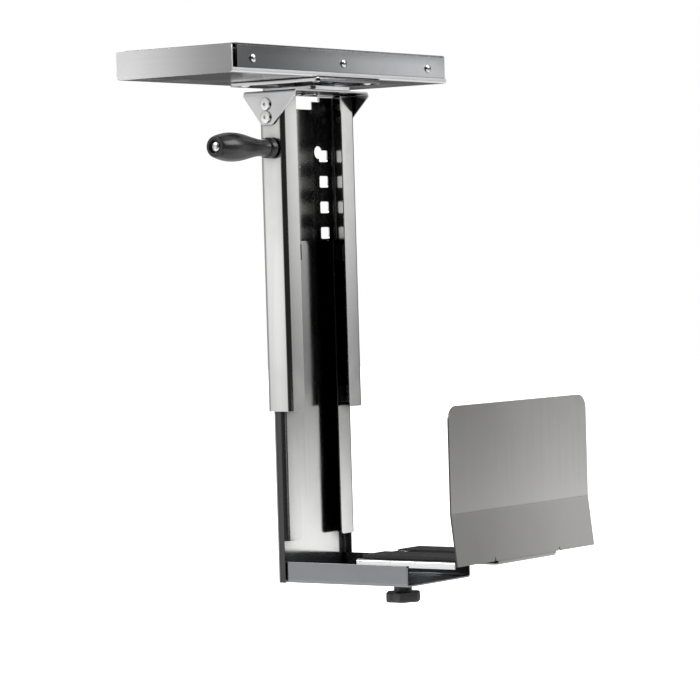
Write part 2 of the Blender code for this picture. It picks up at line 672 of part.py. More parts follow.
def column_bracket(swivel):
    """Inverted U whose tapered ears hold the sleeve."""
    t = BRACKET_T / 2
    ear = SLEEVE_WIDTH / 2 + GAP + t
    top = BRACKET_TOP - t
    foot = BRACKET_TOP - EAR_DROP
    half = BRACKET_DEPTH / 2
    path = ((-ear, foot), (-ear, top), (ear, top), (ear, foot))
    bm = prism(bent_strip(path, BRACKET_T, BRACKET_BEND), "X", -half, half)
    shoulder = BRACKET_TOP - EAR_SHOULDER
    for side, foot_x in zip((-1, 1), EAR_FOOT):
        along = Vector((foot_x - side * half, 0, foot - shoulder))
        normal = Vector((-along.z, 0, along.x)) * side
        bmesh.ops.bisect_plane(bm, geom=bm.verts[:] + bm.edges[:] + bm.faces[:],
                               plane_co=(side * half, 0, shoulder), plane_no=normal,
                               clear_outer=True)
        bmesh.ops.holes_fill(bm, edges=[e for e in bm.edges if e.is_boundary])
    bracket = piece("column_bracket", bm, silver(), (0, 0, BRACKET_TOP), swivel)
    boolean(bracket, ear_screw_bores("bracket_ear_bores"))
    boolean(bracket, swivel_bores("bracket_pivot_bore"))
    profile = screw_profile(EAR_HEAD_D, EAR_HEAD_H, EAR_SCREW_D,
                            BRACKET_T + COLUMN_T + 3 * GAP, 0.5)
    number = 0
    for side in (-1, 1):
        for drop in EAR_SCREW_DROPS:
            number += 1
            head_y = side * (SLEEVE_WIDTH / 2 + 2 * GAP + BRACKET_T + EAR_HEAD_H)
            head = (EAR_SCREW_X, head_y, BRACKET_TOP - drop)
            bm = turned(profile, head, (0, -side, 0), 16)
            piece("ear_screw_%d" % number, bm, zinc(), head, swivel, True)


# ---------------------------------------------------------------- column

def rounded_slot(y, z, width, height, corner, into):
    """A square hole's cutter through the sleeve's web."""
    outline = [Vector((y + a * width / 2, z + b * height / 2))
               for a, b in ((-1, -1), (1, -1), (1, 1), (-1, 1))]
    rounded = []
    for index, point in enumerate(outline):
        rounded += rounded_corner(point, outline[index - 1], outline[(index + 1) % 4], corner, 2)
    return prism(rounded, "X", SLEEVE_REAR - 2 * COLUMN_T, SLEEVE_REAR + 3 * COLUMN_T, into)


def sleeve(swivel):
    """Outer lipped channel, with two rows of square holes in its web."""
    outline = c_section(SLEEVE_REAR, SLEEVE_FRONT, SLEEVE_WIDTH / 2, SLEEVE_LIP, COLUMN_T,
                        COLUMN_BEND)
    bm = prism(outline, "Z", SLEEVE_BOTTOM, SLEEVE_TOP)
    channel = piece("sleeve_channel", bm, silver(), (0, 0, SLEEVE_TOP), swivel)
    holes = bmesh.new()
    for row in range(HOLE_ROWS):
        z = SLEEVE_TOP - HOLE_TOP_ROW - row * HOLE_PITCH
        for side in (-1, 1):
            rounded_slot(side * HOLE_COLUMN, z, HOLE_WIDTH, HOLE_HEIGHT, HOLE_CORNER, holes)
    boolean(channel, cutter("web_holes", holes))
    spy = cylinder((SLEEVE_REAR - 2 * COLUMN_T, SPY_HOLE_Y, SLEEVE_TOP - SPY_HOLE_DROP),
                   (SLEEVE_REAR + 3 * COLUMN_T, SPY_HOLE_Y, SLEEVE_TOP - SPY_HOLE_DROP),
                   SPY_HOLE_D)
    boolean(channel, cutter("web_spy_hole", spy))
    for number, (half, depth) in enumerate(WINDOW_STEPS):
        window = box((SLEEVE_REAR - 2 * COLUMN_T, -half, SLEEVE_TOP - depth),
                     (SLEEVE_REAR + 3 * COLUMN_T, half, SLEEVE_TOP + depth))
        boolean(channel, cutter("web_window_%d" % number, window))
    boolean(channel, ear_screw_bores("sleeve_ear_bores"))
    bore = cylinder((0, WALL_OUT - 2 * COLUMN_T, HANDLE_Z), (0, WALL_OUT + 3 * COLUMN_T, HANDLE_Z),
                    BUSH_D + 2 * SHAFT_GAP)
    boolean(channel, cutter("sleeve_bush_bore", bore))


def inner_channel(lift):
    """Inner lipped channel; its lips stop short so the base can enter it."""
    outline = c_section(INNER_REAR, INNER_FRONT, INNER_WIDTH / 2, INNER_LIP, COLUMN_T,
                        COLUMN_BEND)
    bm = prism(outline, "Z", INNER_BOTTOM, INNER_TOP)
    channel = piece("inner_channel", bm, silver(), (0, 0, INNER_TOP), lift)
    half = INNER_WIDTH / 2
    mouth = box((INNER_FRONT - COLUMN_BEND - COLUMN_T, -half - COLUMN_T, INNER_BOTTOM - COLUMN_T),
                (INNER_FRONT + COLUMN_T, half + COLUMN_T, INNER_BOTTOM + LIP_STOP))
    boolean(channel, cutter("inner_mouth", mouth))
    nut_z = INNER_TOP - NUT_DROP - NUT_HEIGHT / 2
    bore = cylinder((INNER_REAR - COLUMN_T, SCREW_Y, nut_z), (INNER_REAR + 3 * COLUMN_T, SCREW_Y, nut_z),
                    NUT_SCREW_D + 2 * SHAFT_GAP, segments=16)
    boolean(channel, cutter("inner_nut_bore", bore))


def glides(swivel, lift):
    """Nylon blocks that take up the room between the channels, behind each lip."""
    inside = SLEEVE_WIDTH / 2 - COLUMN_T - COLUMN_BEND
    rear = INNER_FRONT + GAP
    front = SLEEVE_FRONT - COLUMN_T - GAP
    low = SLEEVE_BOTTOM + GLIDE_END_GAP
    high = INNER_TOP - GLIDE_END_GAP - GLIDE_HEIGHT
    inner_inside = INNER_WIDTH / 2
    for side, tag in ((-1, "left"), (1, "right")):
        far, near = side * inside, side * (inside - GLIDE_WIDTH)
        bm = box((rear, min(far, near), low), (front, max(far, near), low + GLIDE_HEIGHT))
        piece("sleeve_glide_" + tag, bm, nylon(), (0, far, low), swivel)
        far, near = side * inner_inside, side * (inner_inside - GLIDE_WIDTH)
        bm = box((rear, min(far, near), high), (front, max(far, near), high + GLIDE_HEIGHT))
        piece("inner_glide_" + tag, bm, nylon(), (0, far, high), lift)


# ---------------------------------------------------------------- height drive

def gear_profile():
    """Small bevel wheel: face towards the other wheel is the narrow end."""
    return ((0, 0.0), (0, GEAR_NOSE_D / 2), (GEAR_FACE / 2, GEAR_D / 2), (GEAR_FACE, GEAR_D / 2),
            (GEAR_FACE, 0.0))


def drive(swivel, handle, screw):
    """Handle, shaft, bevel wheels, lead screw and the bracket that carries them."""
    wall = WALL_OUT
    bush = ((0, SHAFT_D / 2 + SHAFT_GAP), (0, BUSH_FLANGE_D / 2),
            (BUSH_FLANGE_H, BUSH_FLANGE_D / 2), (BUSH_FLANGE_H, BUSH_D / 2),
            (BUSH_FLANGE_H + GAP + COLUMN_T + BUSH_REACH, BUSH_D / 2),
            (BUSH_FLANGE_H + GAP + COLUMN_T + BUSH_REACH, SHAFT_D / 2 + SHAFT_GAP))
    bush_y = wall - GAP - BUSH_FLANGE_H
    piece("shaft_bush", turned(bush, (0, bush_y, HANDLE_Z), (0, 1, 0)), nylon(),
          (0, bush_y, HANDLE_Z), swivel, True)

    gear_half = GEAR_D / 2
    apex = SCREW_Y - gear_half
    nose_y = apex - GEAR_MESH
    shaft_end = nose_y
    hub_y = bush_y - GAP - HUB_LENGTH
    pin_y = hub_y - GAP - GRIP_LENGTH + GRIP_RECESS - GRIP_PIN_HEAD_H - GAP
    profile = ((0, 0.0), (0, GRIP_PIN_HEAD_D / 2), (GRIP_PIN_HEAD_H, GRIP_PIN_HEAD_D / 2),
               (GRIP_PIN_HEAD_H, GRIP_PIN_D / 2), (hub_y - pin_y, GRIP_PIN_D / 2),
               (hub_y - pin_y, SHAFT_D / 2), (bush_y - pin_y, SHAFT_D / 2),
               (shaft_end - GEAR_FACE - GAP - pin_y, SHAFT_D / 2),
               (shaft_end - GEAR_FACE - GAP - pin_y, 0.0))
    piece("handle_shaft", turned(profile, (0, pin_y, HANDLE_Z), (0, 1, 0)), zinc(),
          (0, pin_y, HANDLE_Z), handle, True)
    hub = tube((0, hub_y + GAP, HANDLE_Z), (0, 1, 0), HUB_LENGTH - GAP, HUB_D,
               SHAFT_D + 2 * SHAFT_GAP)
    piece("handle_hub", hub, black_plastic(), (0, hub_y, HANDLE_Z), handle, True)
    shape = [((1 - share) * GRIP_LENGTH, radius * MM) for share, radius in GRIP_PROFILE][::-1]
    profile = [(GRIP_RECESS, GRIP_BORE_D / 2), (GRIP_RECESS, GRIP_RECESS_D / 2),
               (0.0, GRIP_RECESS_D / 2)] + shape + [(GRIP_LENGTH, GRIP_BORE_D / 2)]
    grip_y = hub_y - GAP - GRIP_LENGTH
    piece("handle_grip", turned(profile, (0, grip_y, HANDLE_Z), (0, 1, 0), 24), black_plastic(),
          (0, grip_y, HANDLE_Z), handle, True)
    wheel = turned(gear_profile(), (0, nose_y, HANDLE_Z), (0, -1, 0), 16)
    piece("bevel_wheel_handle", wheel, steel(), (0, nose_y, HANDLE_Z), handle, True)

    nose_z = HANDLE_Z - gear_half - GEAR_MESH
    wheel = turned(gear_profile(), (0, SCREW_Y, nose_z), (0, 0, -1), 16)
    piece("bevel_wheel_screw", wheel, steel(), (0, SCREW_Y, nose_z), screw, True)
    top = nose_z - GEAR_FACE - GAP
    neck = SHELF_Z - GEAR_BRACKET_T - GAP
    profile = ((0, 0.0), (0, SCREW_D / 2), (neck - top + SCREW_LENGTH, SCREW_D / 2),
               (neck - top + SCREW_LENGTH, SCREW_NECK_D / 2), (SCREW_LENGTH, SCREW_NECK_D / 2),
               (SCREW_LENGTH, 0.0))
    foot = top - SCREW_LENGTH
    piece("lead_screw", turned(profile, (0, SCREW_Y, foot), (0, 0, 1)), zinc(),
          (0, SCREW_Y, foot), screw, True)


def gear_bracket(swivel):
    """Angle welded inside the sleeve: an upright for the shaft and a shelf for the screw."""
    t = GEAR_BRACKET_T / 2
    tab = SCREW_Y - TAB_Y + t
    rear = SLEEVE_REAR + COLUMN_T + GAP
    far = SCREW_Y + NUT_WIDTH / 2
    path = ((tab, HANDLE_Z + GEAR_BRACKET_RISE), (tab, SHELF_Z - t), (far, SHELF_Z - t))
    bm = prism(bent_strip(path, GEAR_BRACKET_T, SHARP_BEND, 3), "X", rear, rear + BRACKET_REACH)
    bracket = piece("gear_bracket", bm, steel(), (rear, tab, SHELF_Z), swivel)
    bores = cylinder((0, tab - 3 * t, HANDLE_Z), (0, tab + 3 * t, HANDLE_Z),
                     SHAFT_D + 2 * SHAFT_GAP)
    cylinder((0, SCREW_Y, SHELF_Z - 4 * t), (0, SCREW_Y, SHELF_Z + 2 * t),
             SCREW_NECK_D + 2 * SHAFT_GAP, bores)
    boolean(bracket, cutter("gear_bracket_bores", bores))


def lead_nut(lift):
    """Block on the inner web that the screw drives, with its screw."""
    rear = INNER_REAR + COLUMN_T + GAP
    high = INNER_TOP - NUT_DROP
    bm = box((rear, SCREW_Y - NUT_WIDTH / 2, high - NUT_HEIGHT),
             (rear + NUT_REACH, SCREW_Y + NUT_WIDTH / 2, high))
    nut = piece("lead_nut", bm, nylon(), (rear, SCREW_Y, high), lift)
    bores = cylinder((0, SCREW_Y, high - 2 * NUT_HEIGHT), (0, SCREW_Y, high + NUT_HEIGHT),
                     SCREW_D + 2 * SHAFT_GAP)
    middle = high - NUT_HEIGHT / 2
    cylinder((rear - COLUMN_T, SCREW_Y, middle),
             (rear + NUT_SCREW_DEPTH + GAP, SCREW_Y, middle),
             NUT_SCREW_D + 2 * SHAFT_GAP, bores, 16)
    boolean(nut, cutter("lead_nut_bores", bores))
    head_x = INNER_REAR - GAP - NUT_SCREW_HEAD_H
    profile = screw_profile(NUT_SCREW_HEAD_D, NUT_SCREW_HEAD_H, NUT_SCREW_D,
                            GAP + COLUMN_T + GAP + NUT_SCREW_DEPTH, 0.4)
    piece("nut_screw", turned(profile, (head_x, SCREW_Y, middle), (1, 0, 0), 16), zinc(),
          (head_x, SCREW_Y, middle), lift, True)


# ---------------------------------------------------------------- base, arm and clamp

def stud_bore(name, diameter):
    """Cutter on the clamp's axis."""
    bm = cylinder((KNOB_X, 0, INNER_BOTTOM - PLATE_T), (KNOB_X, 0, ARM_TOP + PAD_T), diameter)
    return cutter(name, bm)


def base_channel(lift):
    """Upturned channel welded into the foot of the inner channel."""
    t = PLATE_T / 2
    half = BASE_WIDTH / 2 - t
    path = ((-half, BASE_TOP), (-half, INNER_BOTTOM + t), (half, INNER_BOTTOM + t),
            (half, BASE_TOP))
    rear = INNER_REAR + COLUMN_T + COLUMN_BEND
    bm = prism(bent_strip(path, PLATE_T, BASE_BEND), "X", rear, BASE_FRONT)
    base = piece("base_channel", bm, silver(), (rear, 0, INNER_BOTTOM), lift)
    boolean(base, stud_bore("base_stud_bore", STUD_D + 2 * SHAFT_GAP))


def side_plate_arm(arm):
    """Sliding arm, bent up into the side plate."""
    t = PLATE_T / 2
    rear_sheet = PLATE_X + t
    foot_sheet = rear_sheet + PLATE_KICK
    plate_path = ((foot_sheet, PLATE_BOTTOM), (rear_sheet, PLATE_CREASE), (rear_sheet, PLATE_TOP))
    half = PLATE_WIDTH / 2
    bm = prism(bent_strip(plate_path, PLATE_T, CREASE_BEND), "Y", -half, half)
    corners = [e for e in bm.edges
               if min(v.co.z for v in e.verts) > PLATE_TOP - GAP
               and abs(e.verts[0].co.x - e.verts[1].co.x) > t]
    bmesh.ops.bevel(bm, geom=corners, offset=PLATE_CORNER, segments=6, affect="EDGES",
                    profile=0.5, material=-1)
    plate = piece("side_plate_arm", bm, silver(), (ARM_REAR, 0, ARM_TOP), arm)

    top = ARM_TOP - t
    wing = ARM_HALF - t
    skirt = ARM_TOP - ARM_FLANGE
    path = ((-wing, skirt), (-wing, top), (wing, top), (wing, skirt))
    rail = prism(bent_strip(path, PLATE_T, ARM_BEND, 3), "X", ARM_REAR,
                 PLATE_X + PLATE_KICK - 2 * FOOT_BEND)
    neck = ARM_HALF - PLATE_T - ARM_BEND
    trims = bmesh.new()
    for side in (-1, 1):
        near, far = sorted((side * neck, side * (ARM_HALF + t)))
        box((ARM_FLANGE_END, near, skirt - t), (foot_sheet + t, far, ARM_TOP + t), trims)
    boolean(plate, cutter("arm_rail", rail), "UNION")
    boolean(plate, cutter("arm_trims", trims))

    slope = PLATE_KICK / PLATE_LOWER
    path = ((PLATE_X - FOOT_OVERLAP, top), (foot_sheet + slope * PLATE_FOOT, top),
            (foot_sheet - slope * FOOT_OVERLAP, PLATE_BOTTOM + FOOT_OVERLAP))
    foot = prism(bent_strip(path, PLATE_T - 2 * FOOT_SKIN, FOOT_BEND), "Y",
                 FOOT_SKIN - neck, neck - FOOT_SKIN)
    boolean(plate, cutter("arm_foot", foot), "UNION")
    notches = bmesh.new()
    low = PLATE_BOTTOM - PLATE_T
    for side in (-1, 1):
        y = side * NOTCH_Y
        outline = ((y - NOTCH_WIDTH / 2, low), (y + NOTCH_WIDTH / 2, low),
                   (y, PLATE_BOTTOM + NOTCH_HEIGHT))
        prism(outline, "X", PLATE_X, foot_sheet + 2 * PLATE_T, notches)
    boolean(plate, cutter("plate_notches", notches))

    slot_w = SLOT_W / 2
    slot = box((KNOB_X - ARM_OUT - STUD_D / 2 - SLOT_END, -slot_w, top - PLATE_T),
               (KNOB_X + ARM_IN + STUD_D / 2 + SLOT_END, slot_w, top + PLATE_T))
    boolean(plate, cutter("arm_slot", slot))

    start, end = ARM_REAR + PAD_END_GAP, PLATE_X - PAD_END_GAP
    for side, tag in ((-1, "near"), (1, "far")):
        low, high = sorted((side * PAD_INNER, side * PAD_OUTER))
        bm = box((start, low, ARM_TOP + GAP), (end, high, ARM_TOP + GAP + PAD_T))
        piece("arm_pad_" + tag, bm, rubber(), (start, low, ARM_TOP), arm)


def knob_outline(steps_per_lobe=6):
    """Lobed outline of the knob's grip."""
    points = []
    count = KNOB_LOBES * steps_per_lobe
    for step in range(count):
        angle = 2 * math.pi * step / count
        radius = KNOB_D / 2 - KNOB_LOBE_DEPTH / 2 * (1 - math.cos(KNOB_LOBES * angle))
        points.append((KNOB_X + radius * math.cos(angle), radius * math.sin(angle)))
    return points


def clamp(lift, knob):
    """Knob and stud below the base; spacer and nut on the stud above it."""
    top = INNER_BOTTOM - GAP
    body_top = top - KNOB_NECK
    bm = prism(knob_outline(), "Z", body_top - KNOB_BODY, body_top)
    rims = [e for e in bm.edges if abs(e.verts[0].co.z - e.verts[1].co.z) < GAP]
    bmesh.ops.bevel(bm, geom=rims, offset=KNOB_RIM, segments=2, affect="EDGES", profile=0.5,
                    material=-1)
    body = piece("clamp_knob", bm, black_plastic(), (KNOB_X, 0, top), knob, True)
    neck = cylinder((KNOB_X, 0, body_top - KNOB_RIM), (KNOB_X, 0, top), KNOB_NECK_D)
    boolean(body, cutter("knob_neck", neck), "UNION")
    seat_z = body_top - KNOB_BODY / 2
    socket = cylinder((KNOB_X, 0, seat_z), (KNOB_X, 0, top + KNOB_RIM), STUD_D + 2 * SHAFT_GAP)
    boolean(body, cutter("knob_socket", socket))
    stud_top = ARM_TOP + GAP + CLAMP_NUT_H
    stud = cylinder((KNOB_X, 0, seat_z + GAP), (KNOB_X, 0, stud_top), STUD_D)
    piece("clamp_stud", stud, zinc(), (KNOB_X, 0, top), knob, True)

    bore = STUD_D + 2 * SHAFT_GAP
    floor = INNER_BOTTOM + PLATE_T + GAP
    spacer = tube((KNOB_X, 0, floor), (0, 0, 1), ARM_TOP - PLATE_T - GAP - floor,
                  CLAMP_SPACER_D, bore)
    piece("clamp_spacer", spacer, zinc(), (KNOB_X, 0, floor), lift, True)
    half = CLAMP_NUT / 2
    nut = box((KNOB_X - half, -half, ARM_TOP + GAP), (KNOB_X + half, half, stud_top))
    nut_obj = piece("clamp_nut", nut, zinc(), (KNOB_X, 0, ARM_TOP), lift)
    boolean(nut_obj, stud_bore("nut_bore", bore))


def build():
    """Empties on the joints' axes, then each sub-assembly on its empty."""
    clear_scene()
    carriage = pivot("carriage_axis", (TRAY_OFFSET_X, TRAY_OFFSET_Y, SLIDE_MID_Z))
    middle = pivot("middle_axis", (TRAY_OFFSET_X, TRAY_OFFSET_Y, SLIDE_MID_Z))
    cage = pivot("cage_axis", (TRAY_OFFSET_X, TRAY_OFFSET_Y, SLIDE_MID_Z))
    swivel = pivot("swivel_axis", (0, 0, SWIVEL_TOP), carriage)
    handle = pivot("handle_axis", (0, WALL_OUT, HANDLE_Z), swivel)
    screw = pivot("screw_axis", (0, SCREW_Y, HANDLE_Z), swivel)
    lift = pivot("lift_axis", (0, 0, INNER_TOP), swivel)
    arm = pivot("arm_axis", (ARM_REAR, 0, ARM_TOP), lift)
    knob = pivot("knob_axis", (KNOB_X, 0, INNER_BOTTOM), lift)

    fixed_channel()
    slides(middle, cage, carriage)
    side_screws()
    carriage_tray(carriage)
    swivel_upper_plate(carriage)
    swivel_rivets(carriage)
    swivel_moving(swivel)
    column_bracket(swivel)
    sleeve(swivel)
    inner_channel(lift)
    glides(swivel, lift)
    drive(swivel, handle, screw)
    gear_bracket(swivel)
    lead_nut(lift)
    base_channel(lift)
    side_plate_arm(arm)
    clamp(lift, knob)


build()
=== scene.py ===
"""Under-desk computer holder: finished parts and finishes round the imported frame.

Every sub-assembly is a class.  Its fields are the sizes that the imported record
doesn't give, its build methods make the meshes and its finishes dress them.
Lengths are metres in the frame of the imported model: +Z up, +X from the column
towards the side plate, -Y towards the user.
"""
import json
import logging
import math
from collections.abc import Callable, Iterable, Sequence
from dataclasses import dataclass, field
from enum import Enum

import bmesh
import bpy
from bmesh.types import BMEdge, BMesh, BMVert
from bpy.types import Material, MeshPolygon, Node, NodeSocket, NodeTree, Object
from mathutils import Matrix, Vector


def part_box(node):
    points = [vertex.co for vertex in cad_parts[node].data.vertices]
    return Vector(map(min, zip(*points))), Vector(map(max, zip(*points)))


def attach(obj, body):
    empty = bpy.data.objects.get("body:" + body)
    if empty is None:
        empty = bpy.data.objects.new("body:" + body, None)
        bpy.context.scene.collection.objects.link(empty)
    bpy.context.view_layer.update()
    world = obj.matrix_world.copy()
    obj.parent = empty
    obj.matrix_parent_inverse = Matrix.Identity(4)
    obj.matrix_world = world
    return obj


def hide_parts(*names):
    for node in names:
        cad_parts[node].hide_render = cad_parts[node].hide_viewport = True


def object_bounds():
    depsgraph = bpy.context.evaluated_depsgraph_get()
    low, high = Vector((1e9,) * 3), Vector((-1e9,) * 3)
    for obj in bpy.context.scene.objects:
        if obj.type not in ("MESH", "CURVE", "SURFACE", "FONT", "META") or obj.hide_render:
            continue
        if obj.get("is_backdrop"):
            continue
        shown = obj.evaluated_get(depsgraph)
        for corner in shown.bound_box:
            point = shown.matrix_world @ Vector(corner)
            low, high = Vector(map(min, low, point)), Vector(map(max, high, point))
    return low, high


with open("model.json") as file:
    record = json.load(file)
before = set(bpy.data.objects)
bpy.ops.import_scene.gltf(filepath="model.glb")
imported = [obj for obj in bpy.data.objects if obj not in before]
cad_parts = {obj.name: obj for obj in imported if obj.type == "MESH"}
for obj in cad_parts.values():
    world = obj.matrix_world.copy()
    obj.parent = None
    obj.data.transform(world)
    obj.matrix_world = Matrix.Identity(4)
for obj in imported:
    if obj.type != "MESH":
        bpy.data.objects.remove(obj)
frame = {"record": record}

MM = 0.001
Triple = tuple[float, float, float]
Colour = Triple
WALL_REACH = 8.0 * MM           # half length of a tool that bores through a side wall
EAR_REACH = 6.0 * MM            # the same through an ear and the wall behind it
EAR_BORE = 5.6 * MM
WHITE = (1.0, 1.0, 1.0, 1.0)
EAR_SCREWS = tuple(f"ear_screw_{number}" for number in range(1, 5))
GLIDE_GROOVE = 2.4 * MM         # width of the groove across a glide
Point2 = tuple[float, float]
log = logging.getLogger("holder")


class Axis(Enum):
    """Row axis along which a section runs."""

    X = 0
    Y = 1
    Z = 2

    @property
    def unit(self) -> Vector:
        """Unit vector along the axis."""
        return Vector([float(index == self.value) for index in range(3)])

    def place(self, across: Point2, along: float) -> Vector:
        """Point from its two numbers across the axis and its place along it."""
        numbers = list(across)
        numbers.insert(self.value, along)
        return Vector(numbers)


class Head(Enum):
    """Shape of a screw's head."""

    DOMED = "domed"
    FLAT = "flat"


class Drive(Enum):
    """Recess in a screw's head."""

    CROSS = "cross"
    SOCKET = "socket"


class Side(Enum):
    """Which of two matching parts."""

    LEFT = "left"
    RIGHT = "right"


# ---- shader groups

@dataclass
class Wiring:
    """Adds and joins nodes in one node tree."""

    tree: NodeTree

    def node(self, kind: str, **settings: object) -> Node:
        """Add a node and set its properties.

        Args:
            kind: Node type's identifier.
            settings: Property values by name.

        Returns:
            The new node.
        """
        made = self.tree.nodes.new(kind)
        for name, value in settings.items():
            setattr(made, name, value)
        return made

    def join(self, source: NodeSocket, target: NodeSocket) -> None:
        """Link an output to an input."""
        self.tree.links.new(source, target)

    def feed(self, node: Node, **values: object) -> Node:
        """Give a node's inputs their links and values.

        Args:
            node: The node.
            values: Link or value by input, with underscores for spaces.

        Returns:
            The same node.
        """
        for name, value in values.items():
            socket = node.inputs[name.replace("_", " ")]
            if isinstance(value, NodeSocket):
                self.join(value, socket)
            else:
                socket.default_value = value
        return node

    def maths(self, operation: str, first: NodeSocket | float,
              second: NodeSocket | float = 0.0, clamp: bool = False) -> NodeSocket:
        """Add a Math node.

        Args:
            operation: Name of the operation.
            first: Link or number for the first input.
            second: Link or number for the second input.
            clamp: Whether the result is kept from 0 to 1.

        Returns:
            The node's output.
        """
        made = self.node("ShaderNodeMath", operation=operation, use_clamp=clamp)
        for socket, value in zip(made.inputs, (first, second)):
            if isinstance(value, (int, float)):
                socket.default_value = value
            else:
                self.join(value, socket)
        return made.outputs[0]

    def noise(self, vector: NodeSocket, scale: float, detail: float) -> NodeSocket:
        """Noise value at a vector.

        Args:
            vector: Where the noise is read.
            scale: How fine it is.
            detail: Finer layers added to it.

        Returns:
            The value.
        """
        made = self.node("ShaderNodeTexNoise")
        return self.feed(made, Scale=scale, Detail=detail, Vector=vector).outputs["Fac"]

    def remap(self, value: NodeSocket, low: float, high: float, start: NodeSocket | float,
              end: NodeSocket | float) -> NodeSocket:
        """Map a value from one range to another, kept inside it.

        Args:
            value: The value.
            low: Its value that gives start.
            high: Its value that gives end.
            start: Result at low.
            end: Result at high.

        Returns:
            The result.
        """
        made = self.node("ShaderNodeMapRange")
        self.feed(made, Value=value, From_Min=low, From_Max=high, To_Min=start, To_Max=end)
        return made.outputs["Result"]

    def stretched(self, vector: NodeSocket, scale: Sequence[float]) -> NodeSocket:
        """Scale a vector axis by axis, for a pattern with a direction.

        Args:
            vector: The vector.
            scale: Factor for each axis.

        Returns:
            The scaled vector.
        """
        made = self.node("ShaderNodeMapping")
        return self.feed(made, Scale=scale, Vector=vector).outputs["Vector"]


@dataclass(frozen=True)
class GroupRecipe:
    """A shader group shared by several finishes.

    Attributes:
        name: Name of the group.
        inputs: Socket name, type and default of each input.
        outputs: Name of each float output.
    """

    name: str
    inputs: tuple[tuple[str, str, object], ...]
    outputs: tuple[str, ...]

    def wire(self, wiring: Wiring, given: Node, result: Node) -> None:
        """Fill the group between its input and output nodes."""
        raise NotImplementedError

    def build(self) -> NodeTree:
        """Return the group, made once."""
        found = bpy.data.node_groups.get(self.name)
        if found is not None:
            return found
        tree = bpy.data.node_groups.new(self.name, "ShaderNodeTree")
        for name, kind, default in self.inputs:
            socket = tree.interface.new_socket(name=name, in_out="INPUT", socket_type=kind)
            if default is not None:
                socket.default_value = default
        for name in self.outputs:
            tree.interface.new_socket(name=name, in_out="OUTPUT",
                                      socket_type="NodeSocketFloat")
        wiring = Wiring(tree)
        given = wiring.node("NodeGroupInput")
        self.wire(wiring, given, wiring.node("NodeGroupOutput"))
        return tree

    def put(self, wiring: Wiring, **values: object) -> Node:
        """Place the group in a material, with a link or value for each input."""
        made = wiring.node("ShaderNodeGroup", node_tree=self.build())
        return wiring.feed(made, **values)


class RolledGrain(GroupRecipe):
    """Fine lines of rolled and brushed sheet, with slow bands across them."""

    fine_share = 0.65
    broad_scale = 0.12

    def wire(self, wiring: Wiring, given: Node, result: Node) -> None:
        """Fill the group: fine and broad lines, added and centred on nought."""
        vector = given.outputs["Vector"]
        fine = wiring.noise(vector, 1.0, 3.0)
        slow = wiring.stretched(vector, (self.broad_scale,) * 3)
        broad = wiring.noise(slow, 1.0, 2.0)
        lines = wiring.maths("ADD", wiring.maths("MULTIPLY", fine, self.fine_share),
                             wiring.maths("MULTIPLY", broad, 1.0 - self.fine_share))
        centred = wiring.maths("SUBTRACT", lines, 0.5)
        wiring.join(wiring.maths("MULTIPLY", centred, given.outputs["Strength"]),
                    result.inputs["Tone"])
        wiring.join(fine, result.inputs["Height"])


class HandlingMarks(GroupRecipe):
    """Soft smudges and smaller spots that dull the gloss."""

    cloud_scale = 14.0
    patch_scale = 55.0

    def wire(self, wiring: Wiring, given: Node, result: Node) -> None:
        """Fill the group: clouds of two sizes, cut to patches."""
        vector = given.outputs["Vector"]
        clouds = wiring.noise(vector, self.cloud_scale, 4.0)
        patches = wiring.noise(vector, self.patch_scale, 6.0)
        both = wiring.maths("MULTIPLY", wiring.remap(clouds, 0.42, 0.68, 0.0, 1.0),
                            wiring.remap(patches, 0.35, 0.75, 0.25, 1.0))
        wiring.join(wiring.maths("MULTIPLY", both, given.outputs["Amount"]),
                    result.inputs["Mask"])


class DeepShade(GroupRecipe):
    """How open a spot is to the room: dark inside folds and channels."""

    closed = 0.25
    clear = 0.85

    def wire(self, wiring: Wiring, given: Node, result: Node) -> None:
        """Fill the group: occlusion, steepened."""
        hidden = wiring.node("ShaderNodeAmbientOcclusion", samples=8)
        wiring.join(given.outputs["Reach"], hidden.inputs["Distance"])
        eased = wiring.remap(hidden.outputs["AO"], self.closed, self.clear,
                             given.outputs["Floor"], 1.0)
        wiring.join(eased, result.inputs["Open"])


class MouldGrain(GroupRecipe):
    """Skin of a moulded part: faint orange peel and fine spark texture."""

    peel_scale = 420.0
    spark_scale = 2600.0
    peel_share = 0.6

    def wire(self, wiring: Wiring, given: Node, result: Node) -> None:
        """Fill the group: two noises added."""
        vector = given.outputs["Vector"]
        peel = wiring.noise(vector, self.peel_scale, 2.0)
        spark = wiring.noise(vector, self.spark_scale, 3.0)
        mixed = wiring.maths("ADD", wiring.maths("MULTIPLY", peel, self.peel_share),
                             wiring.maths("MULTIPLY", spark, 1.0 - self.peel_share))
        wiring.join(mixed, result.inputs["Height"])
        wiring.join(wiring.maths("MULTIPLY", wiring.maths("SUBTRACT", mixed, 0.5),
                                 given.outputs["Strength"]), result.inputs["Tone"])


VECTOR_INPUT = ("Vector", "NodeSocketVector", None)
ROLLED_GRAIN = RolledGrain("rolled_grain",
                           (VECTOR_INPUT, ("Strength", "NodeSocketFloat", 0.1)),
                           ("Tone", "Height"))
HANDLING_MARKS = HandlingMarks("handling_marks",
                               (VECTOR_INPUT, ("Amount", "NodeSocketFloat", 0.1)), ("Mask",))
DEEP_SHADE = DeepShade("deep_shade", (("Reach", "NodeSocketFloat", 0.03),
                                      ("Floor", "NodeSocketFloat", 0.3)), ("Open",))
MOULD_GRAIN = MouldGrain("mould_grain", (VECTOR_INPUT, ("Strength", "NodeSocketFloat", 0.1)),
                         ("Height", "Tone"))


# ---- finishes

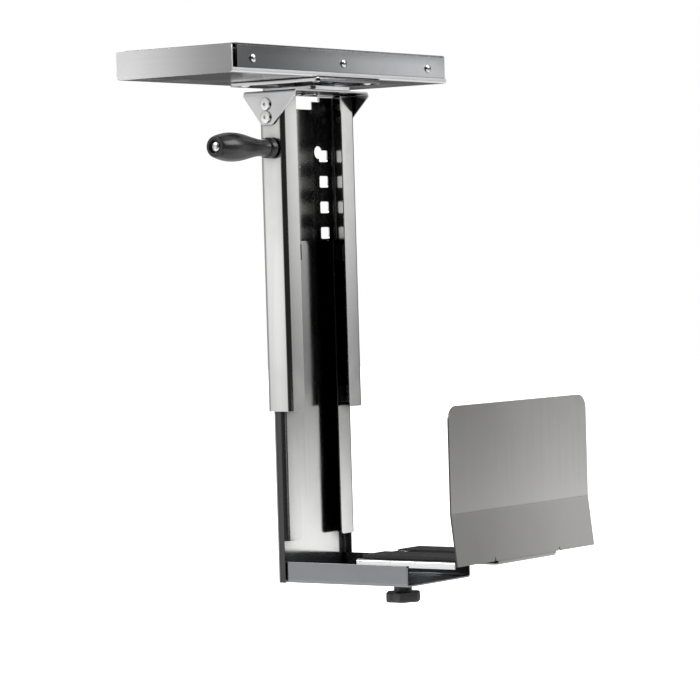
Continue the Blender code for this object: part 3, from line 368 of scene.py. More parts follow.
@dataclass(frozen=True)
class Finish:
    """A surface finish, made into a material once.

    Attributes:
        name: Name of the material.
        colour: Base colour.
        roughness: Roughness of a clean spot.
    """

    name: str
    colour: Colour
    roughness: float

    def wire(self, wiring: Wiring, shader: Node, vector: NodeSocket) -> None:
        """Join this finish's nodes to the shader."""
        raise NotImplementedError

    def material(self) -> Material:
        """Return the material, made once per name."""
        found = bpy.data.materials.get(self.name)
        if found is not None:
            return found
        made = bpy.data.materials.new(self.name)
        made.use_nodes = True
        made.diffuse_color = (*self.colour, 1.0)
        wiring = Wiring(made.node_tree)
        shader = made.node_tree.nodes["Principled BSDF"]
        wiring.feed(shader, Base_Color=(*self.colour, 1.0), Roughness=self.roughness)
        vector = wiring.node("ShaderNodeTexCoord").outputs["Object"]
        self.wire(wiring, shader, vector)
        return made

    def relief(self, wiring: Wiring, shader: Node, height: NodeSocket,
               strength: float, distance: float) -> None:
        """Feed a height to the shader's normal through a Bump node.

        Args:
            wiring: The material's wiring.
            shader: Its shader.
            height: The height.
            strength: Share of the bump that shows.
            distance: Depth of a height of 1.
        """
        bump = wiring.node("ShaderNodeBump")
        wiring.feed(bump, Strength=strength, Distance=distance, Height=height)
        wiring.feed(shader, Normal=bump.outputs["Normal"])

    def shades(self, wiring: Wiring, value: NodeSocket) -> NodeSocket:
        """Multiply the colour by a value that changes over the surface.

        Args:
            wiring: The material's wiring.
            value: Factor on the colour.

        Returns:
            The changed colour.
        """
        tint = wiring.node("ShaderNodeVectorMath", operation="SCALE")
        tint.inputs[0].default_value = self.colour
        return wiring.feed(tint, Scale=value).outputs["Vector"]


@dataclass(frozen=True)
class PaintedLightGradient:
    """Painted reflection and shade: a slow change of tone along one direction of a sheet.

    Attributes:
        direction: Direction of the change.
        start: Place along it where the tone is first_tone.
        end: Place along it where the tone is last_tone.
        first_tone: Factor on the colour before start.
        last_tone: Factor on the colour after end.
    """

    direction: Triple
    start: float
    end: float
    first_tone: float
    last_tone: float

    def factor(self, wiring: Wiring, vector: NodeSocket) -> NodeSocket:
        """Factor on the colour at a spot.

        Args:
            wiring: The material's wiring.
            vector: The spot.

        Returns:
            The factor.
        """
        along = wiring.node("ShaderNodeVectorMath", operation="DOT_PRODUCT")
        along.inputs[1].default_value = self.direction
        wiring.join(vector, along.inputs[0])
        made = wiring.node("ShaderNodeMapRange", interpolation_type="SMOOTHSTEP")
        wiring.feed(made, Value=along.outputs["Value"], From_Min=self.start,
                    From_Max=self.end, To_Min=self.first_tone, To_Max=self.last_tone)
        return made.outputs["Result"]


@dataclass(frozen=True)
class SheetSteel(Finish):
    """Satin plated sheet steel, rolled along one axis.

    Attributes:
        grain: Axis the sheet was rolled along.
        grain_strength: Share by which the grain changes the tone.
        lines_across: Scale of the grain across the rolling.
        lines_along: Scale of the grain along it.
        relief_depth: Depth of the grain.
        marks: How much handling dulls the sheet.
        shade_reach: How far the dark of a fold reaches.
        shade_floor: Tone in the deepest fold.
        painted_light_gradients: Painted reflections and shade, as slow changes of tone along
            the sheet.
    """

    grain: Axis = Axis.Z
    grain_strength: float = 0.16
    lines_across: float = 1500.0
    lines_along: float = 14.0
    relief_depth: float = 0.006 * MM
    marks: float = 0.07
    shade_reach: float = 30.0 * MM
    shade_floor: float = 0.25
    painted_light_gradients: tuple[PaintedLightGradient, ...] = ()

    def wire(self, wiring: Wiring, shader: Node, vector: NodeSocket) -> None:
        """Join grain, marks, painted shade and painted reflections to a metal shader."""
        scale = [self.lines_across] * 3
        scale[self.grain.value] = self.lines_along
        lines = wiring.stretched(vector, scale)
        grain = ROLLED_GRAIN.put(wiring, Vector=lines, Strength=self.grain_strength)
        marks = HANDLING_MARKS.put(wiring, Vector=vector, Amount=self.marks)
        shade = DEEP_SHADE.put(wiring, Reach=self.shade_reach, Floor=self.shade_floor)
        tone = wiring.maths("ADD", grain.outputs["Tone"], 1.0)
        tone = wiring.maths("MULTIPLY", tone, shade.outputs["Open"])
        # painted reflections and shade, as tone ramps along the sheet
        for fade in self.painted_light_gradients:
            tone = wiring.maths("MULTIPLY", tone, fade.factor(wiring, vector))
        rough = wiring.maths("ADD", marks.outputs["Mask"], self.roughness)
        rough = wiring.maths("ADD", rough,
                             wiring.maths("MULTIPLY", grain.outputs["Tone"], 0.25))
        wiring.feed(shader, Metallic=1.0, Base_Color=self.shades(wiring, tone),
                    Roughness=rough)
        self.relief(wiring, shader, grain.outputs["Height"], 0.35, self.relief_depth)


@dataclass(frozen=True)
class BrightZinc(Finish):
    """Zinc-plated steel: bright, with faint cloudy crystals.

    Attributes:
        crystal_size: Width of one crystal.
        shade_reach: How far the dark of a corner reaches.
        shade_floor: Tone in the deepest corner.
        marks: How much handling dulls the plating.
    """

    crystal_size: float = 1.6 * MM
    shade_reach: float = 12.0 * MM
    shade_floor: float = 0.35
    marks: float = 0.12

    def wire(self, wiring: Wiring, shader: Node, vector: NodeSocket) -> None:
        """Join crystals and marks to a metal shader."""
        crystals = wiring.node("ShaderNodeTexVoronoi")
        wiring.feed(crystals, Scale=1.0 / self.crystal_size, Vector=vector)
        facet = wiring.node("ShaderNodeSeparateColor")
        wiring.feed(facet, Color=crystals.outputs["Color"])
        tone = wiring.remap(facet.outputs["Red"], 0.0, 1.0, 0.9, 1.06)
        shade = DEEP_SHADE.put(wiring, Reach=self.shade_reach, Floor=self.shade_floor)
        tone = wiring.maths("MULTIPLY", tone, shade.outputs["Open"])
        marks = HANDLING_MARKS.put(wiring, Vector=vector, Amount=self.marks)
        rough = wiring.maths("ADD", marks.outputs["Mask"], self.roughness)
        wiring.feed(shader, Metallic=1.0, Base_Color=self.shades(wiring, tone),
                    Roughness=rough)


@dataclass(frozen=True)
class MouldedPlastic(Finish):
    """Moulded plastic with a skin of its own.

    Attributes:
        skin: Strength of the moulded skin.
        skin_depth: Depth of the moulded skin.
        gloss_coat: Weight of the glossy top layer.
        coat_roughness: Roughness of that layer.
        marks: How much handling dulls the plastic.
    """

    skin: float = 0.3
    skin_depth: float = 0.04 * MM
    gloss_coat: float = 0.0
    coat_roughness: float = 0.12
    marks: float = 0.16

    def wire(self, wiring: Wiring, shader: Node, vector: NodeSocket) -> None:
        """Join the moulded skin and marks of use."""
        skin = MOULD_GRAIN.put(wiring, Vector=vector, Strength=0.5)
        marks = HANDLING_MARKS.put(wiring, Vector=vector, Amount=self.marks)
        tone = wiring.maths("ADD", wiring.maths("ADD", skin.outputs["Tone"], 1.0),
                            wiring.maths("MULTIPLY", marks.outputs["Mask"], 1.4))
        rough = wiring.maths("ADD", marks.outputs["Mask"], self.roughness)
        wiring.feed(shader, Base_Color=self.shades(wiring, tone), Roughness=rough,
                    Coat_Weight=self.gloss_coat, Coat_Roughness=self.coat_roughness)
        self.relief(wiring, shader, skin.outputs["Height"], self.skin, self.skin_depth)


@dataclass(frozen=True)
class StagePaper(Finish):
    """Matt white paper for the studio floor, which glows a little by itself."""

    def wire(self, wiring: Wiring, shader: Node, vector: NodeSocket) -> None:
        """Keep the paper matt, with a faint cloudiness and a white glow."""
        cloud = wiring.remap(wiring.noise(vector, 1.5, 2.0), 0.3, 0.7, 0.99, 1.0)
        wiring.feed(shader, Base_Color=self.shades(wiring, cloud), Emission_Color=WHITE,
                    Specular_IOR_Level=0.0)


# Painted reflection: the mount steel is painted dark towards -Y and light towards +Y.
MOUNT_STEEL = SheetSteel("mount_steel", (0.68, 0.69, 0.71), 0.22, grain=Axis.Y,
                         painted_light_gradients=(PaintedLightGradient((0.0, 1.0, 0.0), -0.15, 0.15, 0.2, 1.0),))
TRAY_STEEL = SheetSteel("tray_steel", (0.80, 0.80, 0.81), 0.2, grain=Axis.X)
# Painted reflection: a darker copy of the tray steel for the tray's front face, lighter at low
# X.
TRAY_FRONT_PAINTED_LIGHT_STEEL = SheetSteel("tray_front_painted_light_steel", (0.74, 0.74, 0.75), 0.22, grain=Axis.X,
                              painted_light_gradients=(PaintedLightGradient((1.0, 0.0, 0.0), -0.085, 0.05, 1.25, 0.5),))
SWIVEL_STEEL = SheetSteel("swivel_steel", (0.86, 0.86, 0.87), 0.18, grain=Axis.X,
                          shade_reach=8.0 * MM)
BRACKET_STEEL = SheetSteel("bracket_steel", (0.80, 0.80, 0.81), 0.2, grain=Axis.X)
SLEEVE_STEEL = SheetSteel("sleeve_steel", (0.74, 0.735, 0.73), 0.13, grain=Axis.Z,
                          shade_floor=0.05)
# Painted shade: the inner channel is painted darker higher up, where the sleeve covers it.
INNER_STEEL = SheetSteel("inner_channel_steel", (0.74, 0.735, 0.73), 0.12, grain=Axis.Z,
                         shade_floor=0.08,
                         painted_light_gradients=(PaintedLightGradient((0.0, 0.0, 1.0), -0.336, -0.306, 1.1, 0.6),))
# Painted shade: a near-black copy of the column steel for the inner channel's side walls.
INNER_WALL_PAINTED_SHADE_STEEL = SheetSteel("inner_wall_painted_shade_steel", (0.09, 0.09, 0.093), 0.16, grain=Axis.Z)
BASE_STEEL = SheetSteel("base_steel", (0.31, 0.315, 0.33), 0.2, grain=Axis.X)
# Painted reflection: the side plate is darker towards -Y and below its crease.
PLATE_STEEL = SheetSteel("side_plate_steel", (0.60, 0.595, 0.58), 0.17, grain=Axis.Z,
                         shade_reach=10.0 * MM, marks=0.03,
                         painted_light_gradients=(PaintedLightGradient((0.0, 1.0, 0.0), -0.12, 0.12, 0.62, 1.15),
                                PaintedLightGradient((0.0, 0.0, 1.0), -0.4245, -0.4205, 0.66, 1.0)))
CUT_EDGE = SheetSteel("cut_edge_steel", (0.10, 0.10, 0.10), 0.35, grain=Axis.Z)
# Painted highlight: a near-white copy of the steel, out of the painted fold shade, for faces
# turned to -Y.
PAINTED_HIGHLIGHT_STEEL = SheetSteel("painted_highlight_steel", (0.95, 0.95, 0.95), 0.2, grain=Axis.X,
                           shade_floor=0.9)
# Painted shade: a dark copy of the swivel steel for the upper plate's +X rim.
SWIVEL_PAINTED_SHADE_STEEL = SheetSteel("swivel_painted_shade_steel", (0.30, 0.30, 0.31), 0.22, grain=Axis.X)
PLAIN_STEEL = SheetSteel("plain_steel_sheet", (0.40, 0.40, 0.41), 0.3, grain=Axis.Y)
RAIL_ZINC = BrightZinc("slide_zinc", (0.66, 0.665, 0.66), 0.22)
SCREW_ZINC = BrightZinc("screw_zinc", (0.93, 0.93, 0.92), 0.16, crystal_size=0.8 * MM)
BALL_STEEL = BrightZinc("ball_steel", (0.75, 0.75, 0.76), 0.08)
GLOSS_BLACK = MouldedPlastic("gloss_black", (0.05, 0.05, 0.051), 0.22, skin=0.12,
                             gloss_coat=1.0)
KNOB_BLACK = MouldedPlastic("knob_black", (0.03, 0.03, 0.031), 0.3, skin=0.3,
                            gloss_coat=0.2)
NYLON_BLACK = MouldedPlastic("nylon_black", (0.02, 0.02, 0.021), 0.42, skin=0.4)
RUBBER_BLACK = MouldedPlastic("rubber_black", (0.016, 0.016, 0.017), 0.7, skin=0.9)
FLOOR_PAPER = StagePaper("floor_paper", (0.93, 0.93, 0.93), 0.9)


# ---- shaping

def block(low: Sequence[float], high: Sequence[float]) -> BMesh:
    """Make a box.

    Args:
        low: Lowest corner.
        high: Highest corner.

    Returns:
        The box.
    """
    bm = bmesh.new()
    made = bmesh.ops.create_cube(bm, size=1.0)["verts"]
    low, high = Vector(low), Vector(high)
    bmesh.ops.scale(bm, verts=made, vec=high - low)
    bmesh.ops.translate(bm, verts=made, vec=(low + high) / 2)
    return bm


def rod(start: Sequence[float], end: Sequence[float], diameter: float,
        steps: int = 40) -> BMesh:
    """Make a rod.

    Args:
        start: Middle of one end.
        end: Middle of the other.
        diameter: Its diameter.
        steps: Facets round it.

    Returns:
        The rod.
    """
    bm = bmesh.new()
    start, end = Vector(start), Vector(end)
    axis = end - start
    turn = Vector((0, 0, 1)).rotation_difference(axis).to_matrix().to_4x4()
    bmesh.ops.create_cone(bm, cap_ends=True, segments=steps, radius1=diameter / 2,
                          radius2=diameter / 2, depth=axis.length,
                          matrix=Matrix.Translation((start + end) / 2) @ turn)
    return bm


def round_off(bm: BMesh, chosen: Sequence[BMEdge | BMVert], radius: float, steps: int,
              affect: str = "EDGES") -> None:
    """Round chosen edges of a shape, or the corners of an open sheet as VERTICES."""
    bmesh.ops.bevel(bm, geom=chosen, offset=radius, segments=steps, affect=affect,
                    profile=0.5, material=-1)


def spun(bm: BMesh, angle: float, about: Sequence[float] = (0.0, 0.0, 0.0)) -> BMesh:
    """Turn a shape round an upright line by an angle in radians."""
    bmesh.ops.rotate(bm, cent=about, matrix=Matrix.Rotation(angle, 3, "Z"), verts=bm.verts)
    return bm


def aimed(bm: BMesh, at: Sequence[float], direction: Sequence[float]) -> BMesh:
    """Put a shape made along +Z in its place.

    Args:
        bm: The shape.
        at: Place of its start.
        direction: Where its +Z points.

    Returns:
        The same shape.
    """
    turn = Vector((0, 0, 1)).rotation_difference(Vector(direction)).to_matrix().to_4x4()
    bmesh.ops.transform(bm, matrix=Matrix.Translation(Vector(at)) @ turn, verts=bm.verts)
    return bm


def lathe(profile: Sequence[Point2], at: Sequence[float], direction: Sequence[float],
          steps: int = 48) -> BMesh:
    """Turn a profile round a line.

    Args:
        profile: Distance along the line and radius of each corner.
        at: Place of distance 0.
        direction: Way the distance grows.
        steps: Facets round the piece.

    Returns:
        The turned shape, closed.
    """
    bm = bmesh.new()
    corners = [bm.verts.new((radius, 0.0, distance)) for distance, radius in profile]
    edges = [bm.edges.new(pair) for pair in zip(corners, corners[1:])]
    if profile[0][1] > 0 and profile[-1][1] > 0:
        edges.append(bm.edges.new((corners[-1], corners[0])))
    bmesh.ops.spin(bm, geom=corners + edges, cent=(0, 0, 0), axis=(0, 0, 1), dvec=(0, 0, 0),
                   angle=2 * math.pi, steps=steps, use_merge=True, use_duplicate=False)
    bmesh.ops.remove_doubles(bm, verts=bm.verts, dist=1e-7)
    bmesh.ops.recalc_face_normals(bm, faces=bm.faces)
    return aimed(bm, at, direction)


def folded(path: Sequence[Point2], axis: Axis, start: float, end: float,
           radii: Sequence[float], steps: int = 7) -> BMesh:
    """Fold a sheet's outer face along an axis.

    Args:
        path: Corners of the outer face across the axis, before rounding.
        axis: Axis along which the section runs.
        start: Where the sheet begins along it.
        end: Where it ends.
        radii: Outer radius of each fold, one for each inner corner of the path.
        steps: Facets of each fold.

    Returns:
        The face with no thickness yet.
    """
    bm = bmesh.new()
    corners = [bm.verts.new(axis.place(point, start)) for point in path]
    runs = [bm.edges.new(pair) for pair in zip(corners, corners[1:])]
    grown = bmesh.ops.extrude_edge_only(bm, edges=runs)["geom"]
    far = [item for item in grown if isinstance(item, BMVert)]
    bmesh.ops.translate(bm, verts=far, vec=axis.unit * (end - start))
    for index, radius in enumerate(radii, 1):
        before, corner, after = (Vector(point) for point in path[index - 1:index + 2])
        turn = (corner - before).angle(after - corner)
        spot = axis.place(path[index], start)
        fold = [edge for edge in bm.edges
                if any((vert.co - spot).length < 1e-6 for vert in edge.verts)
                and abs((edge.verts[0].co - edge.verts[1].co).dot(axis.unit)) > MM]
        round_off(bm, fold, radius * math.tan(turn / 2), steps)
    return bm


def thickened(bm: BMesh, inside: Sequence[float], thickness: float) -> BMesh:
    """Give an open sheet its thickness.

    Args:
        bm: The sheet's outer face.
        inside: A point on the side towards which the thickness grows.
        thickness: Thickness of the sheet.

    Returns:
        The same shape, closed.
    """
    bmesh.ops.recalc_face_normals(bm, faces=bm.faces)
    bm.normal_update()
    widest = max(bm.faces, key=lambda face: face.calc_area())
    towards = Vector(inside) - widest.calc_center_median()
    if towards.dot(widest.normal) > 0:
        bmesh.ops.reverse_faces(bm, faces=bm.faces)
        bm.normal_update()
    bmesh.ops.solidify(bm, geom=bm.faces[:], thickness=thickness)
    bmesh.ops.recalc_face_normals(bm, faces=bm.faces)
    return bm


def rounded_block(low: Sequence[float], high: Sequence[float], axis: Axis, radius: float,
                  steps: int = 6, chosen: Callable[[Vector], bool] | None = None) -> BMesh:
    """Make a box with its edges along one axis rounded.

    Args:
        low: Lowest corner.
        high: Highest corner.
        axis: Axis whose edges are rounded.
        radius: Radius of the rounding.
        steps: Facets of each corner.
        chosen: Picks the edges to round by their middle, or all if left out.

    Returns:
        The rounded box.
    """
    bm = block(low, high)
    edges = [edge for edge in bm.edges
             if abs((edge.verts[0].co - edge.verts[1].co).normalized().dot(axis.unit)) > 0.9
             and (chosen is None or chosen((edge.verts[0].co + edge.verts[1].co) / 2))]
    round_off(bm, edges, radius, steps)
    return bm


def joined(parts: Iterable[BMesh]) -> BMesh:
    """Gather several shapes in one, each closed in itself.

    Args:
        parts: The shapes, which are used up.

    Returns:
        The whole.
    """
    whole = bmesh.new()
    for part in parts:
        held = bpy.data.meshes.new("held")
        part.to_mesh(held)
        part.free()
        whole.from_mesh(held)
        bpy.data.meshes.remove(held)
    return whole


def curve_through(points: Sequence[Point2], steps: int = 5) -> list[Point2]:
    """Smooth a profile with points between its own.

    Args:
        points: Corners of the profile.
        steps: Points made for each run between two corners.

    Returns:
        The corners with the points between them.
    """
    smooth = []
    for index in range(len(points) - 1):
        near = [Vector(points[min(max(index + shift, 0), len(points) - 1)])
                for shift in (-1, 0, 1, 2)]
        for step in range(steps):
            t = step / steps
            slope = near[2] - near[0]
            bend = 2 * near[0] - 5 * near[1] + 4 * near[2] - near[3]
            twist = 3 * near[1] - near[0] - 3 * near[2] + near[3]
            smooth.append(tuple(0.5 * (2 * near[1] + slope * t + bend * t ** 2
                                       + twist * t ** 3)))
    smooth.append(tuple(points[-1]))
    return smooth


def balls(places: Iterable[Sequence[float]], diameter: float) -> list[BMesh]:
    """Make a bearing ball at each place.

    Args:
        places: Middles of the balls.
        diameter: Their diameter.

    Returns:
        The balls.
    """
    made = []
    for place in places:
        bm = bmesh.new()
        bmesh.ops.create_uvsphere(bm, u_segments=12, v_segments=8, radius=diameter / 2,
                                  matrix=Matrix.Translation(Vector(place)))
        made.append(bm)
    return made


def thread_ridge(core: float, crest: float, start: float, length: float, lead: float,
                 flank: float, phase: float, steps: int = 16) -> BMesh:
    """Sweep one thread ridge round +Z.

    Args:
        core: Radius of the ridge's root, a little inside the rod.
        crest: Radius of its crest.
        start: Height at which it begins.
        length: Length of thread.
        lead: Rise in one turn.
        flank: Height of the ridge's root along the axis.
        phase: Angle at which it begins.
        steps: Facets in one turn.

    Returns:
        The ridge, closed.
    """
    bm = bmesh.new()
    section = ((core, 0.0), (crest, flank * 0.3), (crest, flank * 0.6), (core, flank))
    corners = [bm.verts.new((radius, 0.0, start + height)) for radius, height in section]
    face = bm.faces.new(corners)
    turns = length / lead
    count = max(2, round(steps * turns))
    bmesh.ops.spin(bm, geom=[face] + face.edges[:] + face.verts[:], cent=(0, 0, 0),
                   axis=(0, 0, 1), dvec=(0, 0, length / count), angle=2 * math.pi * turns,
                   steps=count, use_merge=False, use_duplicate=False)
    bmesh.ops.holes_fill(bm, edges=[edge for edge in bm.edges if edge.is_boundary])
    bmesh.ops.recalc_face_normals(bm, faces=bm.faces)
    return spun(bm, phase)


# ---- the bench

def scrap(obj: Object) -> None:
    """Throw an object away with its mesh."""
    mesh = obj.data
    bpy.data.objects.remove(obj)
    bpy.data.meshes.remove(mesh)


class Workpiece:
    """One part on the bench, with the cuts and joints made to it."""

    def __init__(self, name: str, bm: BMesh) -> None:
        """Put a shape on the bench under a name."""
        mesh = bpy.data.meshes.new(name)
        bm.to_mesh(mesh)
        bm.free()
        self.obj = bpy.data.objects.new(name, mesh)
        self.accents: list[tuple[Finish, Callable[[MeshPolygon], bool]]] = []
        bpy.context.scene.collection.objects.link(self.obj)

    def _settle(self) -> None:
        """Make the modifiers' result the part's own mesh."""
        depsgraph = bpy.context.evaluated_depsgraph_get()
        made = bpy.data.meshes.new_from_object(self.obj.evaluated_get(depsgraph))
        old = self.obj.data
        name = old.name
        self.obj.modifiers.clear()
        self.obj.data = made
        bpy.data.meshes.remove(old)
        made.name = name

    def _combine(self, tool: BMesh, operation: str) -> "Workpiece":
        """Apply one Boolean.

        Args:
            tool: The other shape, which is used up.
            operation: UNION or DIFFERENCE.

        Returns:
            This workpiece.
        """
        cutter = Workpiece(self.obj.name + "_tool", tool).obj
        modifier = self.obj.modifiers.new("shape", "BOOLEAN")
        modifier.operation = operation
        modifier.solver = "EXACT"
        modifier.object = cutter
        self._settle()
        scrap(cutter)
        return self

    def cut(self, *tools: BMesh) -> "Workpiece":
        """Cut with tools that don't touch each other."""
        return self._combine(joined(tools), "DIFFERENCE")

    def add(self, tool: BMesh) -> "Workpiece":
        """Weld a shape on."""
        return self._combine(tool, "UNION")

    def round_edges(self, chosen: Callable[[BMEdge], bool], radius: float,
                    steps: int = 4) -> "Workpiece":
        """Round chosen edges.

        Args:
            chosen: Says whether an edge is rounded.
            radius: Radius of the rounding.
            steps: Facets of it.

        Returns:
            This workpiece.
        """
        bm = bmesh.new()
        bm.from_mesh(self.obj.data)
        round_off(bm, [edge for edge in bm.edges if chosen(edge)], radius, steps)
        bm.to_mesh(self.obj.data)
        bm.free()
        return self

    def soften(self, width: float = 0.15 * MM, steps: int = 2,
               angle: float = 34.0) -> "Workpiece":
        """Break the sharp edges and smooth the rest.

        Args:
            width: Width of the broken edge.
            steps: Facets of it.
            angle: Least angle of an edge that is broken, in degrees.

        Returns:
            This workpiece.
        """
        self.obj.data.shade_smooth()
        modifier = self.obj.modifiers.new("edges", "BEVEL")
        modifier.width = width
        modifier.segments = steps
        modifier.limit_method = "ANGLE"
        modifier.angle_limit = math.radians(angle)
        modifier.use_clamp_overlap = True
        modifier.harden_normals = True
        self._settle()
        return self

    def face_with(self, finish: Finish, chosen: Callable[[MeshPolygon], bool]
                  ) -> "Workpiece":
        """Give chosen faces a finish of their own once the part is handed over.

        Args:
            finish: Finish of the chosen faces.
            chosen: Says whether a face takes it.

        Returns:
            This workpiece.
        """
        self.accents.append((finish, chosen))
        return self

    def hand_over(self, finish: Finish, *nodes: str) -> Object:
        """Dress the part and let it stand for its nodes.

        Args:
            finish: Finish of the whole part.
            nodes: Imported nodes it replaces, all on one body.

        Returns:
            The finished object.
        """
        record = frame["record"]
        body = next(name for name, members in record["behaviour"]["bodies"].items()
                    if nodes[0] in members)
        self.obj.data.materials.clear()
        self.obj.data.materials.append(finish.material())
        for index, (accent, chosen) in enumerate(self.accents, 1):
            self.obj.data.materials.append(accent.material())
            for face in self.obj.data.polygons:
                if chosen(face):
                    face.material_index = index
        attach(self.obj, body)
        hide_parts(*nodes)
        self._report(body, nodes)
        return self.obj

    def _report(self, body: str, nodes: Sequence[str]) -> None:
        """Log the part, and how far it stands proud of its nodes.

        Args:
            body: Body that it rides on.
            nodes: Nodes that it replaces.
        """
        boxes = [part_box(node) for node in nodes]
        points = [vert.co for vert in self.obj.data.vertices]
        proud = short = -math.inf
        for axis in range(3):
            inset = min(p[axis] for p in points) - min(low[axis] for low, _ in boxes)
            excess = max(p[axis] for p in points) - max(high[axis] for _, high in boxes)
            proud, short = max(proud, -inset, excess), max(short, inset, -excess)
        log.info("%s: %d faces on %s, %.2f mm proud, %.2f mm short", self.obj.name,
                 len(self.obj.data.polygons), body, proud / MM, short / MM)


def middle(node: str) -> Vector:
    """Middle of a node's box."""
    low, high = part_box(node)
    return (low + high) / 2


def bores(nodes: Iterable[str], reach: Vector, diameter: float, steps: int) -> list[BMesh]:
    """Make a tool for a round hole through the middle of each node.

    Args:
        nodes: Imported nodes, mostly screws.
        reach: From the middle of the tool to its end.
        diameter: Diameter of the hole.
        steps: Facets round it.

    Returns:
        The tools, one for each node.
    """
    return [rod(middle(node) - reach, middle(node) + reach, diameter, steps)
            for node in nodes]


def mould_glide(kind: str, side: Side, face_low: bool) -> None:
    """Mould one of the column's glides, grooved across its rubbing face.

    Args:
        kind: Part of the column that carries it.
        side: Which of the two glides.
        face_low: Whether the rubbing face is the one at low X.
    """
    node = f"{kind}_glide_{side.value}"
    low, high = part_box(node)
    part = Workpiece(f"{kind}_glide_block_{side.value}", block(low, high))
    face_x = low.x if face_low else high.x
    lower = middle(node).z - GLIDE_GROOVE / 2
    groove = block((face_x - MM, low.y - MM, lower),
                   (face_x + MM, high.y + MM, lower + GLIDE_GROOVE))
    part.cut(groove).soften(0.5 * MM, 3).hand_over(NYLON_BLACK, node)


@dataclass
class Screw:
    """A machine screw, from the outer end of its head inwards.

    Attributes:
        head_diameter: Diameter of the head.
        head_height: Height of the head.
        shank_diameter: Diameter of the shank.
        head: Shape of the head.
        drive: Recess in the head.
    """

    head_diameter: float
    head_height: float
    shank_diameter: float
    head: Head
    drive: Drive

    def _profile(self, length: float) -> list[Point2]:
        """Draw the screw's outline.

        Args:
            length: From the head's end to the tip.

        Returns:
            Distance and radius of each corner.
        """
        radius = self.head_diameter / 2
        dome = self.head_height * (0.8 if self.head is Head.DOMED else 0.25)
        corners = [(0.0, 0.0)]
        flat = 0.25 if self.head is Head.DOMED else 0.86
        for step in range(7):
            angle = math.pi / 2 * step / 6
            corners.append((dome * (1 - math.cos(angle)),
                            radius * (flat + (1 - flat) * math.sin(angle))))
        corners += [(self.head_height, radius), (self.head_height, self.shank_diameter / 2),
                    (length, self.shank_diameter / 2), (length, 0.0)]
        return corners

    def _recess(self) -> BMesh:
        """Tool for the recess, along +Z from the head's end."""
        depth = self.head_height * 0.62
        if self.drive is Drive.SOCKET:
            bm = bmesh.new()
            bmesh.ops.create_cone(bm, cap_ends=True, segments=6, depth=2 * depth,
                                  radius1=self.head_diameter * 0.16,
                                  radius2=self.head_diameter * 0.16)
            return bm
        arm, wide = self.head_diameter * 0.27, self.head_diameter * 0.065
        cross = Workpiece("cross", block((-arm, -wide, -depth), (arm, wide, depth)))
        cross.add(block((-wide, -arm, -depth), (wide, arm, depth)))
        bm = bmesh.new()
        bm.from_mesh(cross.obj.data)
        scrap(cross.obj)
        deep = [vert for vert in bm.verts if vert.co.z > 0]
        bmesh.ops.scale(bm, verts=deep, vec=(0.6, 0.6, 1.0))
        return bm

    def make(self, name: str, node: str, direction: Vector, turn: float = 0.0) -> Object:
        """Make the screw that stands for a node.

        Args:
            name: Name of the piece.
            node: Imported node.
            direction: Way the screw goes in, along a row axis.
            turn: Turn of the recess, in degrees.

        Returns:
            The finished screw.
        """
        low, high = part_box(node)
        length = abs((high - low).dot(direction))
        start = middle(node) - direction * length / 2
        part = Workpiece(name, lathe(self._profile(length), start, direction, 40))
        recess = spun(self._recess(), math.radians(turn))
        part.cut(aimed(recess, start, direction))
        return part.soften(0.12 * MM).hand_over(SCREW_ZINC, node)


# ---- mount under the desk

@dataclass
class DeskMount:
    """Fixed channel under the desk with the six screws of the slides."""

    sheet: float = 1.5 * MM
    fold: float = 2.3 * MM
    desk_hole: float = 5.0 * MM
    desk_hole_mouth: float = 9.0 * MM
    desk_hole_flare: float = 1.2 * MM
    desk_hole_reach: float = 6.0 * MM
    desk_hole_end: float = 40.0 * MM
    desk_hole_side: float = 30.75 * MM
    screw_hole: float = 4.6 * MM
    drive_step: float = 17.0
    screw: Screw = field(default_factory=lambda: Screw(7.6 * MM, 2.2 * MM, 4.0 * MM,
                                                       Head.DOMED, Drive.CROSS))

    def _desk_holes(self, low: Vector, high: Vector) -> list[BMesh]:
        """Make the tools for the countersunk desk holes.

        Args:
            low: Channel's lowest corner.
            high: Its highest corner.

        Returns:
            The tools.
        """
        hole, mouth, reach = self.desk_hole / 2, self.desk_hole_mouth / 2, self.desk_hole_reach
        cone = ((0.0, 0.0), (0.0, mouth), (MM, mouth), (MM + self.desk_hole_flare, hole),
                (reach, hole), (reach, 0.0))
        return [lathe(cone, (x, y, high.z - self.sheet - MM), (0, 0, 1), 32)
                for x in (low.x + self.desk_hole_side, high.x - self.desk_hole_side)
                for y in (low.y + self.desk_hole_end, high.y - self.desk_hole_end)]

    def build_channel(self) -> None:
        """Fold the channel and cut its holes."""
        low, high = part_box("desk_channel")
        path = ((low.x, low.z), (low.x, high.z), (high.x, high.z), (high.x, low.z))
        face = folded(path, Axis.Y, low.y, high.y, (self.fold, self.fold))
        part = Workpiece("desk_channel_folded",
                         thickened(face, (middle("desk_channel").x, 0, low.z), self.sheet))
        tools = bores((f"side_screw_{number}" for number in range(1, 7)),
                      Vector((WALL_REACH, 0, 0)), self.screw_hole, 24)
        part.cut(*self._desk_holes(low, high), *tools)
        part.soften().hand_over(MOUNT_STEEL, "desk_channel")

    def build_screws(self) -> None:
        """Drive the slides' screws through both walls."""
        centre = middle("desk_channel").x
        for number in range(1, 7):
            node = f"side_screw_{number}"
            inwards = Vector((math.copysign(1.0, centre - middle(node).x), 0, 0))
            self.screw.make(f"slide_screw_{number}", node, inwards, self.drive_step * number)

    def build(self) -> None:
        """Build the fixed part of the mount."""
        self.build_channel()
        self.build_screws()


